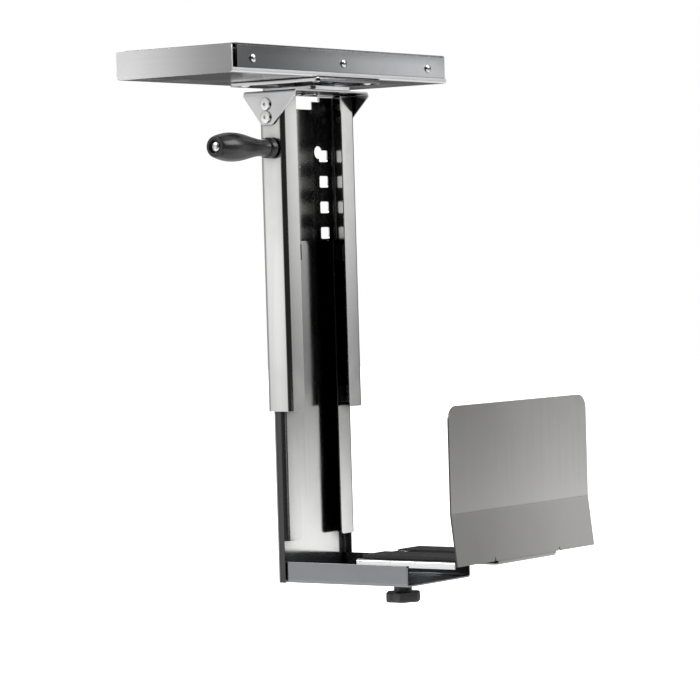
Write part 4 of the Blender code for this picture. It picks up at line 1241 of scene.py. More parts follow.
@dataclass
class SlidePair:
    """Two telescopic slides with their balls, and the angles that carry the tray."""

    sheet: float = 1.2 * MM
    fold: float = 1.5 * MM
    cage_sheet: float = 0.8 * MM
    cage_fold: float = 1.1 * MM
    ball: float = 1.3 * MM
    ball_pitch: float = 9.0 * MM
    angle_sheet: float = 1.5 * MM
    angle_fold: float = 2.3 * MM
    screw_hole: float = 4.6 * MM
    window: tuple[float, float] = (26.0 * MM, 6.0 * MM)
    window_spot: float = 70.0 * MM

    def _member(self, node: str, spine_low: bool, sheet: float, fold: float) -> BMesh:
        """Roll one C-shaped member in its box.

        Args:
            node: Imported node.
            spine_low: Whether its spine is at low X.
            sheet: Thickness.
            fold: Outer radius of its folds.

        Returns:
            The member.
        """
        low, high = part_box(node)
        spine, mouth = (low.x, high.x) if spine_low else (high.x, low.x)
        path = ((mouth, high.z), (spine, high.z), (spine, low.z), (mouth, low.z))
        face = folded(path, Axis.Y, low.y, high.y, (fold, fold), 5)
        return thickened(face, (mouth, middle(node).y, middle(node).z), sheet)

    def build_outer(self, side: Side) -> None:
        """Roll the outer member, with its screw holes and lightening windows."""
        node = "slide_outer_" + side.value
        part = Workpiece("slide_outer_rail_" + side.value,
                         self._member(node, side is Side.LEFT, self.sheet, self.fold))
        spot = middle(node)
        near, far = spot.x - WALL_REACH, spot.x + WALL_REACH
        first = 1 if side is Side.LEFT else 4
        tools = []
        for number in range(first, first + 3):
            hole = middle(f"side_screw_{number}")
            tools.append(rod((near, hole.y, hole.z), (far, hole.y, hole.z),
                             self.screw_hole, 24))
        long, tall = self.window
        for y in (spot.y - self.window_spot, spot.y + self.window_spot):
            tools.append(rounded_block((near, y - long / 2, spot.z - tall / 2),
                                       (far, y + long / 2, spot.z + tall / 2),
                                       Axis.X, tall * 0.45))
        part.cut(*tools).soften(0.1 * MM).hand_over(RAIL_ZINC, node)

    def build_moving(self, side: Side) -> None:
        """Roll the middle and inner members."""
        for kind, spine in (("middle", Side.LEFT), ("inner", Side.RIGHT)):
            node = f"slide_{kind}_{side.value}"
            part = Workpiece(f"slide_{kind}_rail_{side.value}",
                             self._member(node, side is spine, self.sheet, self.fold))
            part.soften(0.1 * MM).hand_over(RAIL_ZINC, node)

    def build_cage(self, side: Side) -> None:
        """Fold the ball cage and set its two rows of balls."""
        node = "ball_cage_" + side.value
        low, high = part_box(node)
        strip = self._member(node, side is Side.LEFT, self.cage_sheet, self.cage_fold)
        x = middle(node).x
        count = int((high.y - low.y) / self.ball_pitch)
        start = middle(node).y - (count - 1) * self.ball_pitch / 2
        places = [(x, start + index * self.ball_pitch, z) for index in range(count)
                  for z in (low.z + self.cage_sheet / 2, high.z - self.cage_sheet / 2)]
        part = Workpiece("ball_cage_strip_" + side.value,
                         joined([strip] + balls(places, self.ball)))
        part.soften(0.05 * MM).hand_over(BALL_STEEL, node)

    def build_angle(self, side: Side) -> None:
        """Fold the angle between the inner member and the tray."""
        node = "slide_angle_" + side.value
        low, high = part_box(node)
        web, foot = (low.x, high.x) if side is Side.LEFT else (high.x, low.x)
        path = ((web, high.z), (web, low.z), (foot, low.z))
        face = folded(path, Axis.Y, low.y, high.y, (self.angle_fold,))
        part = Workpiece("tray_angle_" + side.value,
                         thickened(face, (foot, middle(node).y, high.z), self.angle_sheet))
        part.soften().hand_over(MOUNT_STEEL, node)

    def build(self) -> None:
        """Build both slides."""
        for side in Side:
            self.build_outer(side)
            self.build_cage(side)
            self.build_moving(side)
            self.build_angle(side)


# ---- carriage and swivel

@dataclass
class Carriage:
    """Shallow tray that slides out, with the swivel's upper plate riveted to it."""

    sheet: float = 1.5 * MM
    brim: float = 4.6 * MM
    fold: float = 1.8 * MM
    front_corner: float = 5.0 * MM
    front_top_corner: float = 1.8 * MM
    plate_corner: float = 4.0 * MM
    plate_fold: float = 1.4 * MM
    pivot_bore: float = 13.6 * MM
    rivet_bore: float = 4.6 * MM
    rivet_head: tuple[float, float] = (9.0 * MM, 2.6 * MM)
    rivet_top: tuple[float, float] = (8.0 * MM, 1.4 * MM)
    rivet_shank: float = 4.0 * MM

    def _bores(self, low_z: float, high_z: float) -> list[BMesh]:
        """Make tools for the pivot's and the rivets' holes.

        Args:
            low_z: Where they start.
            high_z: Where they end.

        Returns:
            The tools.
        """
        tools = [rod((0, 0, low_z), (0, 0, high_z), self.pivot_bore)]
        for number in range(1, 5):
            spot = middle(f"swivel_rivet_{number}")
            tools.append(rod((spot.x, spot.y, low_z), (spot.x, spot.y, high_z),
                             self.rivet_bore, 24))
        return tools

    def build_tray(self) -> None:
        """Fold the tray and weld its full-height front on."""
        low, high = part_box("carriage_tray")
        brim = low.z + self.brim
        path = ((low.x, brim), (low.x, low.z), (high.x, low.z), (high.x, brim))
        face = folded(path, Axis.Y, low.y + self.sheet / 2, high.y, (self.fold, self.fold))
        centre = middle("carriage_tray")
        part = Workpiece("carriage_tray_pressed",
                         thickened(face, (centre.x, centre.y, high.z), self.sheet))
        front = rounded_block((low.x, low.y, low.z), (high.x, low.y + self.sheet, high.z),
                              Axis.Y, self.front_corner, 8,
                              lambda spot: spot.z < centre.z)
        part.add(front)
        part.round_edges(lambda edge: all(vert.co.z > high.z - 0.1 * MM for vert in edge.verts)
                         and abs(edge.verts[0].co.y - edge.verts[1].co.y) > MM,
                         self.front_top_corner)
        part.cut(*self._bores(low.z - MM, low.z + 3 * MM))
        part.soften(0.25 * MM, 3)
        # painted reflection: the front face takes the darker copy of the tray steel
        part.face_with(TRAY_FRONT_PAINTED_LIGHT_STEEL, lambda face: face.normal.y < -0.95
                       and face.center.y < low.y + 0.1 * MM)
        part.hand_over(TRAY_STEEL, "carriage_tray")

    def build_upper_plate(self) -> None:
        """Press the square plate, its edge turned down."""
        low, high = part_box("swivel_upper_plate")
        bm = rounded_block(low, high, Axis.Z, self.plate_corner)
        under = min(bm.faces, key=lambda face: face.calc_center_median().z)
        bmesh.ops.delete(bm, geom=[under], context="FACES_ONLY")
        rim = [edge for edge in bm.edges
               if all(vert.co.z > high.z - 0.01 * MM for vert in edge.verts)]
        round_off(bm, rim, self.plate_fold, 4)
        part = Workpiece("swivel_upper_pressing",
                         thickened(bm, (0, 0, low.z), self.sheet))
        part.cut(*self._bores(low.z - MM, high.z + MM))
        part.soften(0.12 * MM)
        # painted shade on the plate's +X rim
        part.face_with(SWIVEL_PAINTED_SHADE_STEEL, lambda face: face.normal.x > 0.7)
        # painted highlight on the plate's -Y rim
        part.face_with(PAINTED_HIGHLIGHT_STEEL, lambda face: face.normal.y < -0.7)
        part.hand_over(SWIVEL_STEEL, "swivel_upper_plate")

    def build_rivets(self) -> None:
        """Turn the rivets, domed below and set flat inside the tray."""
        (head, tall), (top, flat) = self.rivet_head, self.rivet_top
        for number in range(1, 5):
            node = f"swivel_rivet_{number}"
            low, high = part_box(node)
            length = high.z - low.z
            dome = [(tall * 0.7 * (1 - math.cos(step * math.pi / 12)),
                     head / 2 * math.sin(step * math.pi / 12)) for step in range(1, 7)]
            profile = [(0.0, 0.0)] + dome + [
                (tall, head / 2), (tall, self.rivet_shank / 2),
                (length - flat, self.rivet_shank / 2), (length - flat, top / 2),
                (length, top / 2), (length, 0.0)]
            spot = middle(node)
            part = Workpiece(f"swivel_rivet_turned_{number}",
                             lathe(profile, (spot.x, spot.y, low.z), (0, 0, 1), 36))
            part.soften(0.3 * MM).hand_over(SCREW_ZINC, node)

    def build(self) -> None:
        """Build what slides out."""
        self.build_tray()
        self.build_upper_plate()
        self.build_rivets()


@dataclass
class SwivelHead:
    """Ball race, lower plate, pivot and the bracket that carries the column."""

    race_sheet: float = 0.9 * MM
    race_bore: float = 16.0 * MM
    race_groove: tuple[float, float, float] = (2.0 * MM, 0.35 * MM, 0.2 * MM)
    race_cage: float = 0.6 * MM
    ball: float = 2.3 * MM
    ball_count: int = 26
    plate_corner: float = 4.0 * MM
    pivot_bore: float = 13.6 * MM
    pivot: tuple[float, float, float, float] = (7.0 * MM, 13.0 * MM, 20.0 * MM, 1.5 * MM)
    bracket_sheet: float = 1.5 * MM
    bracket_fold: float = 3.7 * MM
    ear_shoulder: float = 5.0 * MM
    ear_foot: tuple[float, float] = (-9.5 * MM, 3.2 * MM)
    ear_corner: float = 2.2 * MM
    drive_step: float = 11.0
    screw: Screw = field(default_factory=lambda: Screw(11.2 * MM, 1.6 * MM, 5.0 * MM,
                                                       Head.FLAT, Drive.SOCKET))

    def build_race(self) -> None:
        """Press the two race rings and set the balls between them."""
        low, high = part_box("ball_race")
        outer, inner, back = high.x, self.race_bore, self.race_sheet
        groove = (outer + inner) / 2
        half, dip, bead = self.race_groove
        profile = ((0.0, inner), (0.0, groove - half), (dip, groove - half / 2),
                   (dip, groove + half / 2), (0.0, groove + half), (0.0, outer),
                   (back, outer), (back, groove + half), (back + bead, groove),
                   (back, groove - half), (back, inner))
        rings = [lathe(profile, (0, 0, z), (0, 0, way), 72)
                 for z, way in ((low.z, 1), (high.z, -1))]
        mid = (low.z + high.z) / 2
        angles = [2 * math.pi * index / self.ball_count for index in range(self.ball_count)]
        places = [(groove * math.cos(angle), groove * math.sin(angle), mid)
                  for angle in angles]
        cage = lathe(((0.0, inner + MM), (0.0, outer - MM), (self.race_cage, outer - MM),
                      (self.race_cage, inner + MM)),
                     (0, 0, mid - self.race_cage / 2), (0, 0, 1), 72)
        part = Workpiece("ball_race_rings", joined(rings + [cage] + balls(places, self.ball)))
        part.soften(0.08 * MM).hand_over(BALL_STEEL, "ball_race")

    def build_lower_plate(self) -> None:
        """Cut the thick lower plate, its edge eased."""
        low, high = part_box("swivel_lower_plate")
        part = Workpiece("swivel_lower_block",
                         rounded_block(low, high, Axis.Z, self.plate_corner))
        part.cut(rod((0, 0, low.z - MM), (0, 0, high.z + MM), self.pivot_bore))
        part.soften(0.4 * MM, 3).hand_over(SWIVEL_STEEL, "swivel_lower_plate")

    def build_pivot(self) -> None:
        """Turn the hollow pivot with its two rolled heads."""
        low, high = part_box("swivel_pivot")
        bore, shank, head, flange = self.pivot
        length = high.z - low.z
        profile = ((0.0, bore / 2), (0.0, head / 2), (flange, head / 2), (flange, shank / 2),
                   (length - flange, shank / 2), (length - flange, head / 2),
                   (length, head / 2), (length, bore / 2))
        part = Workpiece("swivel_pivot_tube", lathe(profile, (0, 0, low.z), (0, 0, 1), 56))
        part.soften(0.45 * MM, 3).hand_over(SCREW_ZINC, "swivel_pivot")

    def _bracket_face(self, low: Vector, high: Vector) -> BMesh:
        """Fold the outer face of the bracket and taper its ears.

        Args:
            low: Lowest corner.
            high: Highest corner.

        Returns:
            The face.
        """
        path = ((low.y, low.z), (low.y, high.z), (high.y, high.z), (high.y, low.z))
        bm = folded(path, Axis.X, low.x, high.x, (self.bracket_fold, self.bracket_fold))
        shoulder = high.z - self.ear_shoulder
        for way, edge_x, foot_x in zip((-1, 1), (low.x, high.x), self.ear_foot):
            along = Vector((foot_x - edge_x, 0, low.z - shoulder))
            normal = Vector((-along.z, 0, along.x)) * way
            bmesh.ops.bisect_plane(bm, geom=bm.verts[:] + bm.edges[:] + bm.faces[:],
                                   plane_co=(edge_x, 0, shoulder), plane_no=normal,
                                   clear_outer=True)
        feet = [vert for vert in bm.verts if vert.co.z < low.z + 0.01 * MM]
        round_off(bm, feet, self.ear_corner, 4, "VERTICES")
        return bm

    def build_bracket(self) -> None:
        """Fold the inverted U, its ears tapered to their screws."""
        low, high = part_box("column_bracket")
        part = Workpiece("column_bracket_folded",
                         thickened(self._bracket_face(low, high), (0, 0, low.z),
                                   self.bracket_sheet))
        centre = rod((0, 0, high.z - 5 * MM), (0, 0, high.z + MM), self.pivot_bore)
        part.cut(centre, *bores(EAR_SCREWS, Vector((0, EAR_REACH, 0)), EAR_BORE, 28))
        part.soften().hand_over(BRACKET_STEEL, "column_bracket")

    def build_ear_screws(self) -> None:
        """Drive the flat screws through both ears."""
        for number, node in enumerate(EAR_SCREWS, 1):
            inwards = Vector((0, math.copysign(1.0, -middle(node).y), 0))
            self.screw.make(f"ear_screw_flat_{number}", node, inwards,
                            self.drive_step * number)

    def build(self) -> None:
        """Build the swivel's moving half."""
        self.build_race()
        self.build_lower_plate()
        self.build_pivot()
        self.build_bracket()
        self.build_ear_screws()


# ---- column

@dataclass
class ColumnSection:
    """A lipped channel open towards +X.

    Attributes:
        sheet: Thickness of the sheet.
        fold: Outer radius of its folds.
        lip: Width of each lip.
    """

    sheet: float
    fold: float
    lip: float

    def roll(self, node: str) -> BMesh:
        """Roll the section in its box.

        Args:
            node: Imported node.

        Returns:
            The channel.
        """
        low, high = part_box(node)
        path = ((high.x, low.y + self.lip), (high.x, low.y), (low.x, low.y),
                (low.x, high.y), (high.x, high.y), (high.x, high.y - self.lip))
        face = folded(path, Axis.Z, low.z, high.z, (self.fold,) * 4)
        return thickened(face, (high.x, middle(node).y, middle(node).z), self.sheet)


@dataclass
class Sleeve:
    """Outer channel with its rows of square holes, glides and the shaft's bush."""

    section: ColumnSection = field(
        default_factory=lambda: ColumnSection(1.2 * MM, 4.2 * MM, 21.7 * MM))
    hole_rows: int = 8
    hole_pitch: float = 24.4 * MM
    hole: tuple[float, float] = (13.4 * MM, 11.0 * MM)
    hole_corner: float = 1.6 * MM
    hole_column: float = 41.0 * MM
    hole_top_row: float = 55.7 * MM
    window_steps: tuple[Point2, ...] = ((38.0 * MM, 4.2 * MM), (25.0 * MM, 11.7 * MM))
    spy_hole: tuple[float, float, float] = (12.0 * MM, 33.0 * MM, 52.2 * MM)
    bush: tuple[float, float, float, float] = (4.3 * MM, 5.7 * MM, 8.0 * MM, 1.5 * MM)
    bush_bore: float = 12.0 * MM
    angle_sheet: float = 1.2 * MM
    angle_fold: float = 2.0 * MM
    angle_corner: tuple[float, float] = (4.2 * MM, 6.0 * MM)
    shaft_bore: float = 8.6 * MM
    neck_bore: float = 6.6 * MM

    def _web_tools(self, low: Vector, high: Vector) -> list[BMesh]:
        """Make a tool for each square hole.

        Args:
            low: Sleeve's lowest corner.
            high: Its highest corner.

        Returns:
            The tools.
        """
        wide, tall = self.hole
        tools = []
        for row in range(self.hole_rows):
            z = high.z - self.hole_top_row - row * self.hole_pitch
            for y in (-self.hole_column, self.hole_column):
                tools.append(rounded_block(
                    (low.x - 2 * MM, y - wide / 2, z - tall / 2),
                    (low.x + 3 * MM, y + wide / 2, z + tall / 2), Axis.X, self.hole_corner, 5))
        return tools

    def build_channel(self) -> None:
        """Roll the sleeve and cut its holes and window."""
        low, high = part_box("sleeve_channel")
        part = Workpiece("sleeve_rolled", self.section.roll("sleeve_channel"))
        part.cut(*self._web_tools(low, high))
        behind, before = low.x - 2 * MM, low.x + 3 * MM
        diameter, y, drop = self.spy_hole
        z = high.z - drop
        part.cut(rod((behind, y, z), (before, y, z), diameter, 48))
        for half, depth in self.window_steps:
            part.cut(block((behind, -half, high.z - depth), (before, half, high.z + depth)))
        tools = bores(EAR_SCREWS, Vector((0, EAR_REACH, 0)), EAR_BORE, 28)
        bush = middle("shaft_bush")
        tools.append(rod((bush.x, low.y - 3 * MM, bush.z), (bush.x, low.y + 4 * MM, bush.z),
                         self.bush_bore))
        part.cut(*tools).soften(0.12 * MM).hand_over(SLEEVE_STEEL, "sleeve_channel")

    def build_glides(self) -> None:
        """Mould the glides at the sleeve's lower end."""
        for side in Side:
            mould_glide("sleeve", side, True)

    def build_bush(self) -> None:
        """Turn the flanged bush of the handle's shaft."""
        low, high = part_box("shaft_bush")
        bore, tube, flange, thick = self.bush
        length = high.y - low.y
        profile = ((0.0, bore), (0.0, flange), (thick, flange), (thick, tube),
                   (length, tube), (length, bore))
        spot = middle("shaft_bush")
        part = Workpiece("shaft_bush_turned",
                         lathe(profile, (spot.x, low.y, spot.z), (0, 1, 0)))
        part.soften(0.3 * MM).hand_over(NYLON_BLACK, "shaft_bush")

    def build_gear_bracket(self) -> None:
        """Fold the angle that carries the shaft and the lead screw."""
        low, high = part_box("gear_bracket")
        path = ((low.y, high.z), (low.y, low.z), (high.y, low.z))
        face = folded(path, Axis.X, low.x, high.x, (self.angle_fold,))
        inside = (middle("gear_bracket").x, high.y, high.z)
        part = Workpiece("gear_bracket_folded", thickened(face, inside, self.angle_sheet))
        shaft, screw = middle("handle_shaft"), middle("lead_screw")
        part.cut(rod((shaft.x, low.y - MM, shaft.z), (shaft.x, low.y + 3 * MM, shaft.z),
                     self.shaft_bore),
                 rod((screw.x, screw.y, low.z - MM), (screw.x, screw.y, low.z + 3 * MM),
                     self.neck_bore))
        inner, outer = self.angle_corner
        corner = block((high.x - inner, high.y - inner, low.z - MM),
                       (high.x + outer, high.y + outer, high.z))
        part.cut(spun(corner, math.radians(45.0), (high.x, high.y, low.z)))
        part.soften().hand_over(PLAIN_STEEL, "gear_bracket")

    def build(self) -> None:
        """Build the sleeve and what it carries."""
        self.build_channel()
        self.build_glides()
        self.build_bush()
        self.build_gear_bracket()


@dataclass
class Lift:
    """Inner channel, its glides and nut, and the base welded into its foot."""

    section: ColumnSection = field(
        default_factory=lambda: ColumnSection(1.2 * MM, 4.2 * MM, 22.0 * MM))
    lip_stop: float = 39.0 * MM
    nut_corner: float = 6.3 * MM
    lip_corner: float = 3.0 * MM
    nut_screw_bore: float = 3.6 * MM
    nut_screw_depth: float = 4.3 * MM
    screw_bore: float = 7.6 * MM
    base_sheet: float = 1.5 * MM
    base_fold: float = 3.1 * MM
    stud_bore: float = 6.2 * MM
    nut_screw: Screw = field(default_factory=lambda: Screw(5.4 * MM, 0.8 * MM, 3.0 * MM,
                                                           Head.FLAT, Drive.CROSS))

    def build_channel(self) -> None:
        """Roll the inner channel; its lips stop above the base."""
        low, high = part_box("inner_channel")
        part = Workpiece("inner_channel_rolled", self.section.roll("inner_channel"))
        stop = low.z + self.lip_stop
        part.cut(block((high.x - self.section.fold, low.y - MM, low.z - MM),
                       (high.x + MM, high.y + MM, stop)))
        edge_y = high.y - self.section.lip
        part.round_edges(lambda edge: all(abs(vert.co.z - stop) < 0.01 * MM
                                          and abs(abs(vert.co.y) - edge_y) < 0.01 * MM
                                          for vert in edge.verts), self.lip_corner)
        nut = middle("nut_screw")
        part.cut(rod((low.x - MM, nut.y, nut.z), (low.x + 3 * MM, nut.y, nut.z),
                     self.nut_screw_bore, 24))
        part.soften(0.12 * MM)
        # painted shade: the side walls take the near-black wall steel
        part.face_with(INNER_WALL_PAINTED_SHADE_STEEL, lambda face: abs(face.normal.y) > 0.9
                       and abs(face.center.y) > high.y - 0.2 * MM)
        part.hand_over(INNER_STEEL, "inner_channel")

    def build_glides(self) -> None:
        """Mould the glides at the inner channel's upper end."""
        for side in Side:
            mould_glide("inner", side, False)

    def build_nut(self) -> None:
        """Cut the lead nut's block and drive its screw."""
        low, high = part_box("lead_nut")
        centre = middle("lead_nut").x
        part = Workpiece("lead_nut_block",
                         rounded_block(low, high, Axis.Z, self.nut_corner, 10,
                                       lambda spot: spot.x > centre))
        screw, pin = middle("lead_screw"), middle("nut_screw")
        part.cut(rod((screw.x, screw.y, low.z - MM), (screw.x, screw.y, high.z + MM),
                     self.screw_bore),
                 rod((low.x - MM, pin.y, pin.z),
                     (low.x + self.nut_screw_depth, pin.y, pin.z), self.nut_screw_bore, 24))
        part.soften(0.5 * MM, 3).hand_over(NYLON_BLACK, "lead_nut")
        self.nut_screw.make("nut_screw_flat", "nut_screw", Vector((1, 0, 0)))

    def build_base(self) -> None:
        """Fold the upturned base channel."""
        low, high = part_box("base_channel")
        path = ((low.y, high.z), (low.y, low.z), (high.y, low.z), (high.y, high.z))
        face = folded(path, Axis.X, low.x, high.x, (self.base_fold, self.base_fold))
        part = Workpiece("base_channel_folded",
                         thickened(face, (middle("base_channel").x, 0, high.z),
                                   self.base_sheet))
        stud = middle("clamp_stud")
        part.cut(rod((stud.x, stud.y, low.z - MM), (stud.x, stud.y, low.z + 3 * MM),
                     self.stud_bore))
        part.soften(0.2 * MM, 3).hand_over(BASE_STEEL, "base_channel")

    def build_clamp_seat(self) -> None:
        """Turn the spacer and cut the square nut that the arm is clamped by."""
        low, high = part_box("clamp_spacer")
        spot = middle("clamp_spacer")
        tall = high.z - low.z
        bore = self.stud_bore / 2
        tube = ((0.0, bore), (0.0, high.x - spot.x), (tall, high.x - spot.x), (tall, bore))
        part = Workpiece("clamp_spacer_tube",
                         lathe(tube, (spot.x, spot.y, low.z), (0, 0, 1)))
        part.soften(0.3 * MM).hand_over(RAIL_ZINC, "clamp_spacer")
        low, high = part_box("clamp_nut")
        part = Workpiece("clamp_nut_square", rounded_block(low, high, Axis.Z, 0.8 * MM, 3))
        part.cut(rod((spot.x, spot.y, low.z - MM), (spot.x, spot.y, high.z + MM),
                     self.stud_bore))
        part.soften(0.3 * MM).hand_over(SCREW_ZINC, "clamp_nut")

    def build(self) -> None:
        """Build what rises and falls."""
        self.build_channel()
        self.build_glides()
        self.build_nut()
        self.build_base()
        self.build_clamp_seat()


# ---- height drive

@dataclass
class HeightDrive:
    """Grip, hub, shaft, bevel wheels and lead screw."""

    grip_shape: tuple[Point2, ...] = ((0.0, 9.2), (0.03, 10.2), (0.12, 11.8), (0.24, 13.1),
                                      (0.38, 13.2), (0.52, 12.1), (0.71, 9.5), (0.87, 7.9),
                                      (1.0, 8.2))
    grip_recess: tuple[float, float] = (13.0 * MM, 3.0 * MM)
    grip_bore: float = 5.6 * MM
    shaft: float = 8.0 * MM
    pin: float = 5.0 * MM
    pin_head: tuple[float, float] = (9.0 * MM, 2.0 * MM)
    wheel: tuple[float, float, float] = (3.2 * MM, 5.5 * MM, 3.7 * MM)
    wheel_land: float = 0.9 * MM
    tooth: float = 0.9 * MM
    teeth: int = 14
    lead: float = 10.0 * MM
    starts: int = 4
    ridge: float = 1.3 * MM
    core: float = 5.6 * MM
    neck: float = 6.0 * MM
    shoulder: float = 2.0 * MM
    run_out: float = 1.5 * MM

    def build_grip(self) -> None:
        """Turn the bulbous grip, with a recess for its pin."""
        low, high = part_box("handle_grip")
        spot = middle("handle_grip")
        length = high.y - low.y
        recess, depth = self.grip_recess
        outer = curve_through([(share * length, radius * MM)
                               for share, radius in self.grip_shape])
        profile = ([(depth, self.grip_bore / 2), (depth, recess / 2), (0.0, recess / 2)]
                   + outer + [(length, self.grip_bore / 2)])
        part = Workpiece("handle_grip_turned",
                         lathe(profile, (spot.x, low.y, spot.z), (0, 1, 0), 72))
        part.soften(0.7 * MM, 4, 40).hand_over(GLOSS_BLACK, "handle_grip")

    def build_hub(self) -> None:
        """Turn the collar behind the grip."""
        low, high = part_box("handle_hub")
        spot = middle("handle_hub")
        length, radius, bore = high.y - low.y, high.x - spot.x, self.shaft / 2 + 0.3 * MM
        profile = ((0.0, bore), (0.0, radius * 0.9), (length * 0.28, radius),
                   (length, radius), (length, bore))
        part = Workpiece("handle_collar",
                         lathe(profile, (spot.x, low.y, spot.z), (0, 1, 0), 64))
        part.soften(0.6 * MM, 4).hand_over(GLOSS_BLACK, "handle_hub")

    def build_shaft(self) -> None:
        """Turn the shaft, stepped down to the grip's pin."""
        low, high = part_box("handle_shaft")
        spot = middle("handle_shaft")
        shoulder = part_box("handle_hub")[0].y - 0.3 * MM - low.y
        head, tall = self.pin_head
        length = high.y - low.y
        profile = ((0.0, 0.0), (0.0, head * 0.3), (tall * 0.3, head * 0.46),
                   (tall * 0.5, head / 2), (tall, head / 2), (tall, self.pin / 2),
                   (shoulder, self.pin / 2), (shoulder, self.shaft / 2),
                   (length, self.shaft / 2), (length, 0.0))
        part = Workpiece("handle_shaft_turned",
                         lathe(profile, (spot.x, low.y, spot.z), (0, 1, 0)))
        part.soften(0.25 * MM).hand_over(SCREW_ZINC, "handle_shaft")

    def _wheel(self, name: str, node: str, nose: Vector, direction: Vector) -> None:
        """Cut a small bevel wheel.

        Args:
            name: Name of the piece.
            node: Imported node.
            nose: Middle of its small end.
            direction: From there to its back.
        """
        face, wide, narrow = self.wheel
        rim = wide - self.wheel_land
        parts = [lathe(((0.0, 0.0), (0.0, narrow - 0.8 * MM), (face / 2, rim), (face, rim),
                        (face, 0.0)), nose, direction, 42)]
        for index in range(self.teeth):
            tooth = block((narrow - 2 * MM, -self.tooth / 2, 0.0), (wide, self.tooth / 2, face))
            tips = [vert for vert in tooth.verts if vert.co.z < MM and vert.co.x > narrow]
            bmesh.ops.translate(tooth, verts=tips, vec=(narrow - wide, 0, 0))
            spun(tooth, 2 * math.pi * index / self.teeth)
            parts.append(aimed(tooth, nose, direction))
        Workpiece(name, joined(parts)).soften(0.1 * MM).hand_over(PLAIN_STEEL, node)

    def build_wheels(self) -> None:
        """Cut both bevel wheels."""
        for kind, axis in (("handle", Axis.Y), ("screw", Axis.Z)):
            node = f"bevel_wheel_{kind}"
            nose = middle(node)
            nose[axis.value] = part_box(node)[1][axis.value]
            self._wheel(f"bevel_wheel_cut_{kind}", node, nose, Vector() - axis.unit)

    def build_screw(self) -> None:
        """Cut the lead screw's four threads below its neck."""
        low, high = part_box("lead_screw")
        spot = middle("lead_screw")
        crest = high.x - spot.x
        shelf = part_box("gear_bracket")[0].z - 0.3 * MM
        thread = shelf - low.z
        step, length = thread - self.shoulder, high.z - low.z
        profile = ((0.0, 0.0), (0.0, self.core / 2), (step, self.core / 2), (step, crest),
                   (thread, crest), (thread, self.neck / 2), (length, self.neck / 2),
                   (length, 0.0))
        parts = [lathe(profile, (0, 0, 0), (0, 0, 1), 36)]
        for start in range(self.starts):
            parts.append(thread_ridge(self.core / 2 - 0.1 * MM, crest, 0.3 * MM,
                                      step - self.run_out, self.lead, self.ridge,
                                      2 * math.pi * start / self.starts))
        bm = joined(parts)
        bmesh.ops.translate(bm, verts=bm.verts, vec=(spot.x, spot.y, low.z))
        part = Workpiece("lead_screw_threaded", bm)
        part.soften(0.1 * MM).hand_over(SCREW_ZINC, "lead_screw")

    def build(self) -> None:
        """Build the height drive."""
        self.build_grip()
        self.build_hub()
        self.build_shaft()
        self.build_wheels()
        self.build_screw()


# ---- arm, side plate and clamp

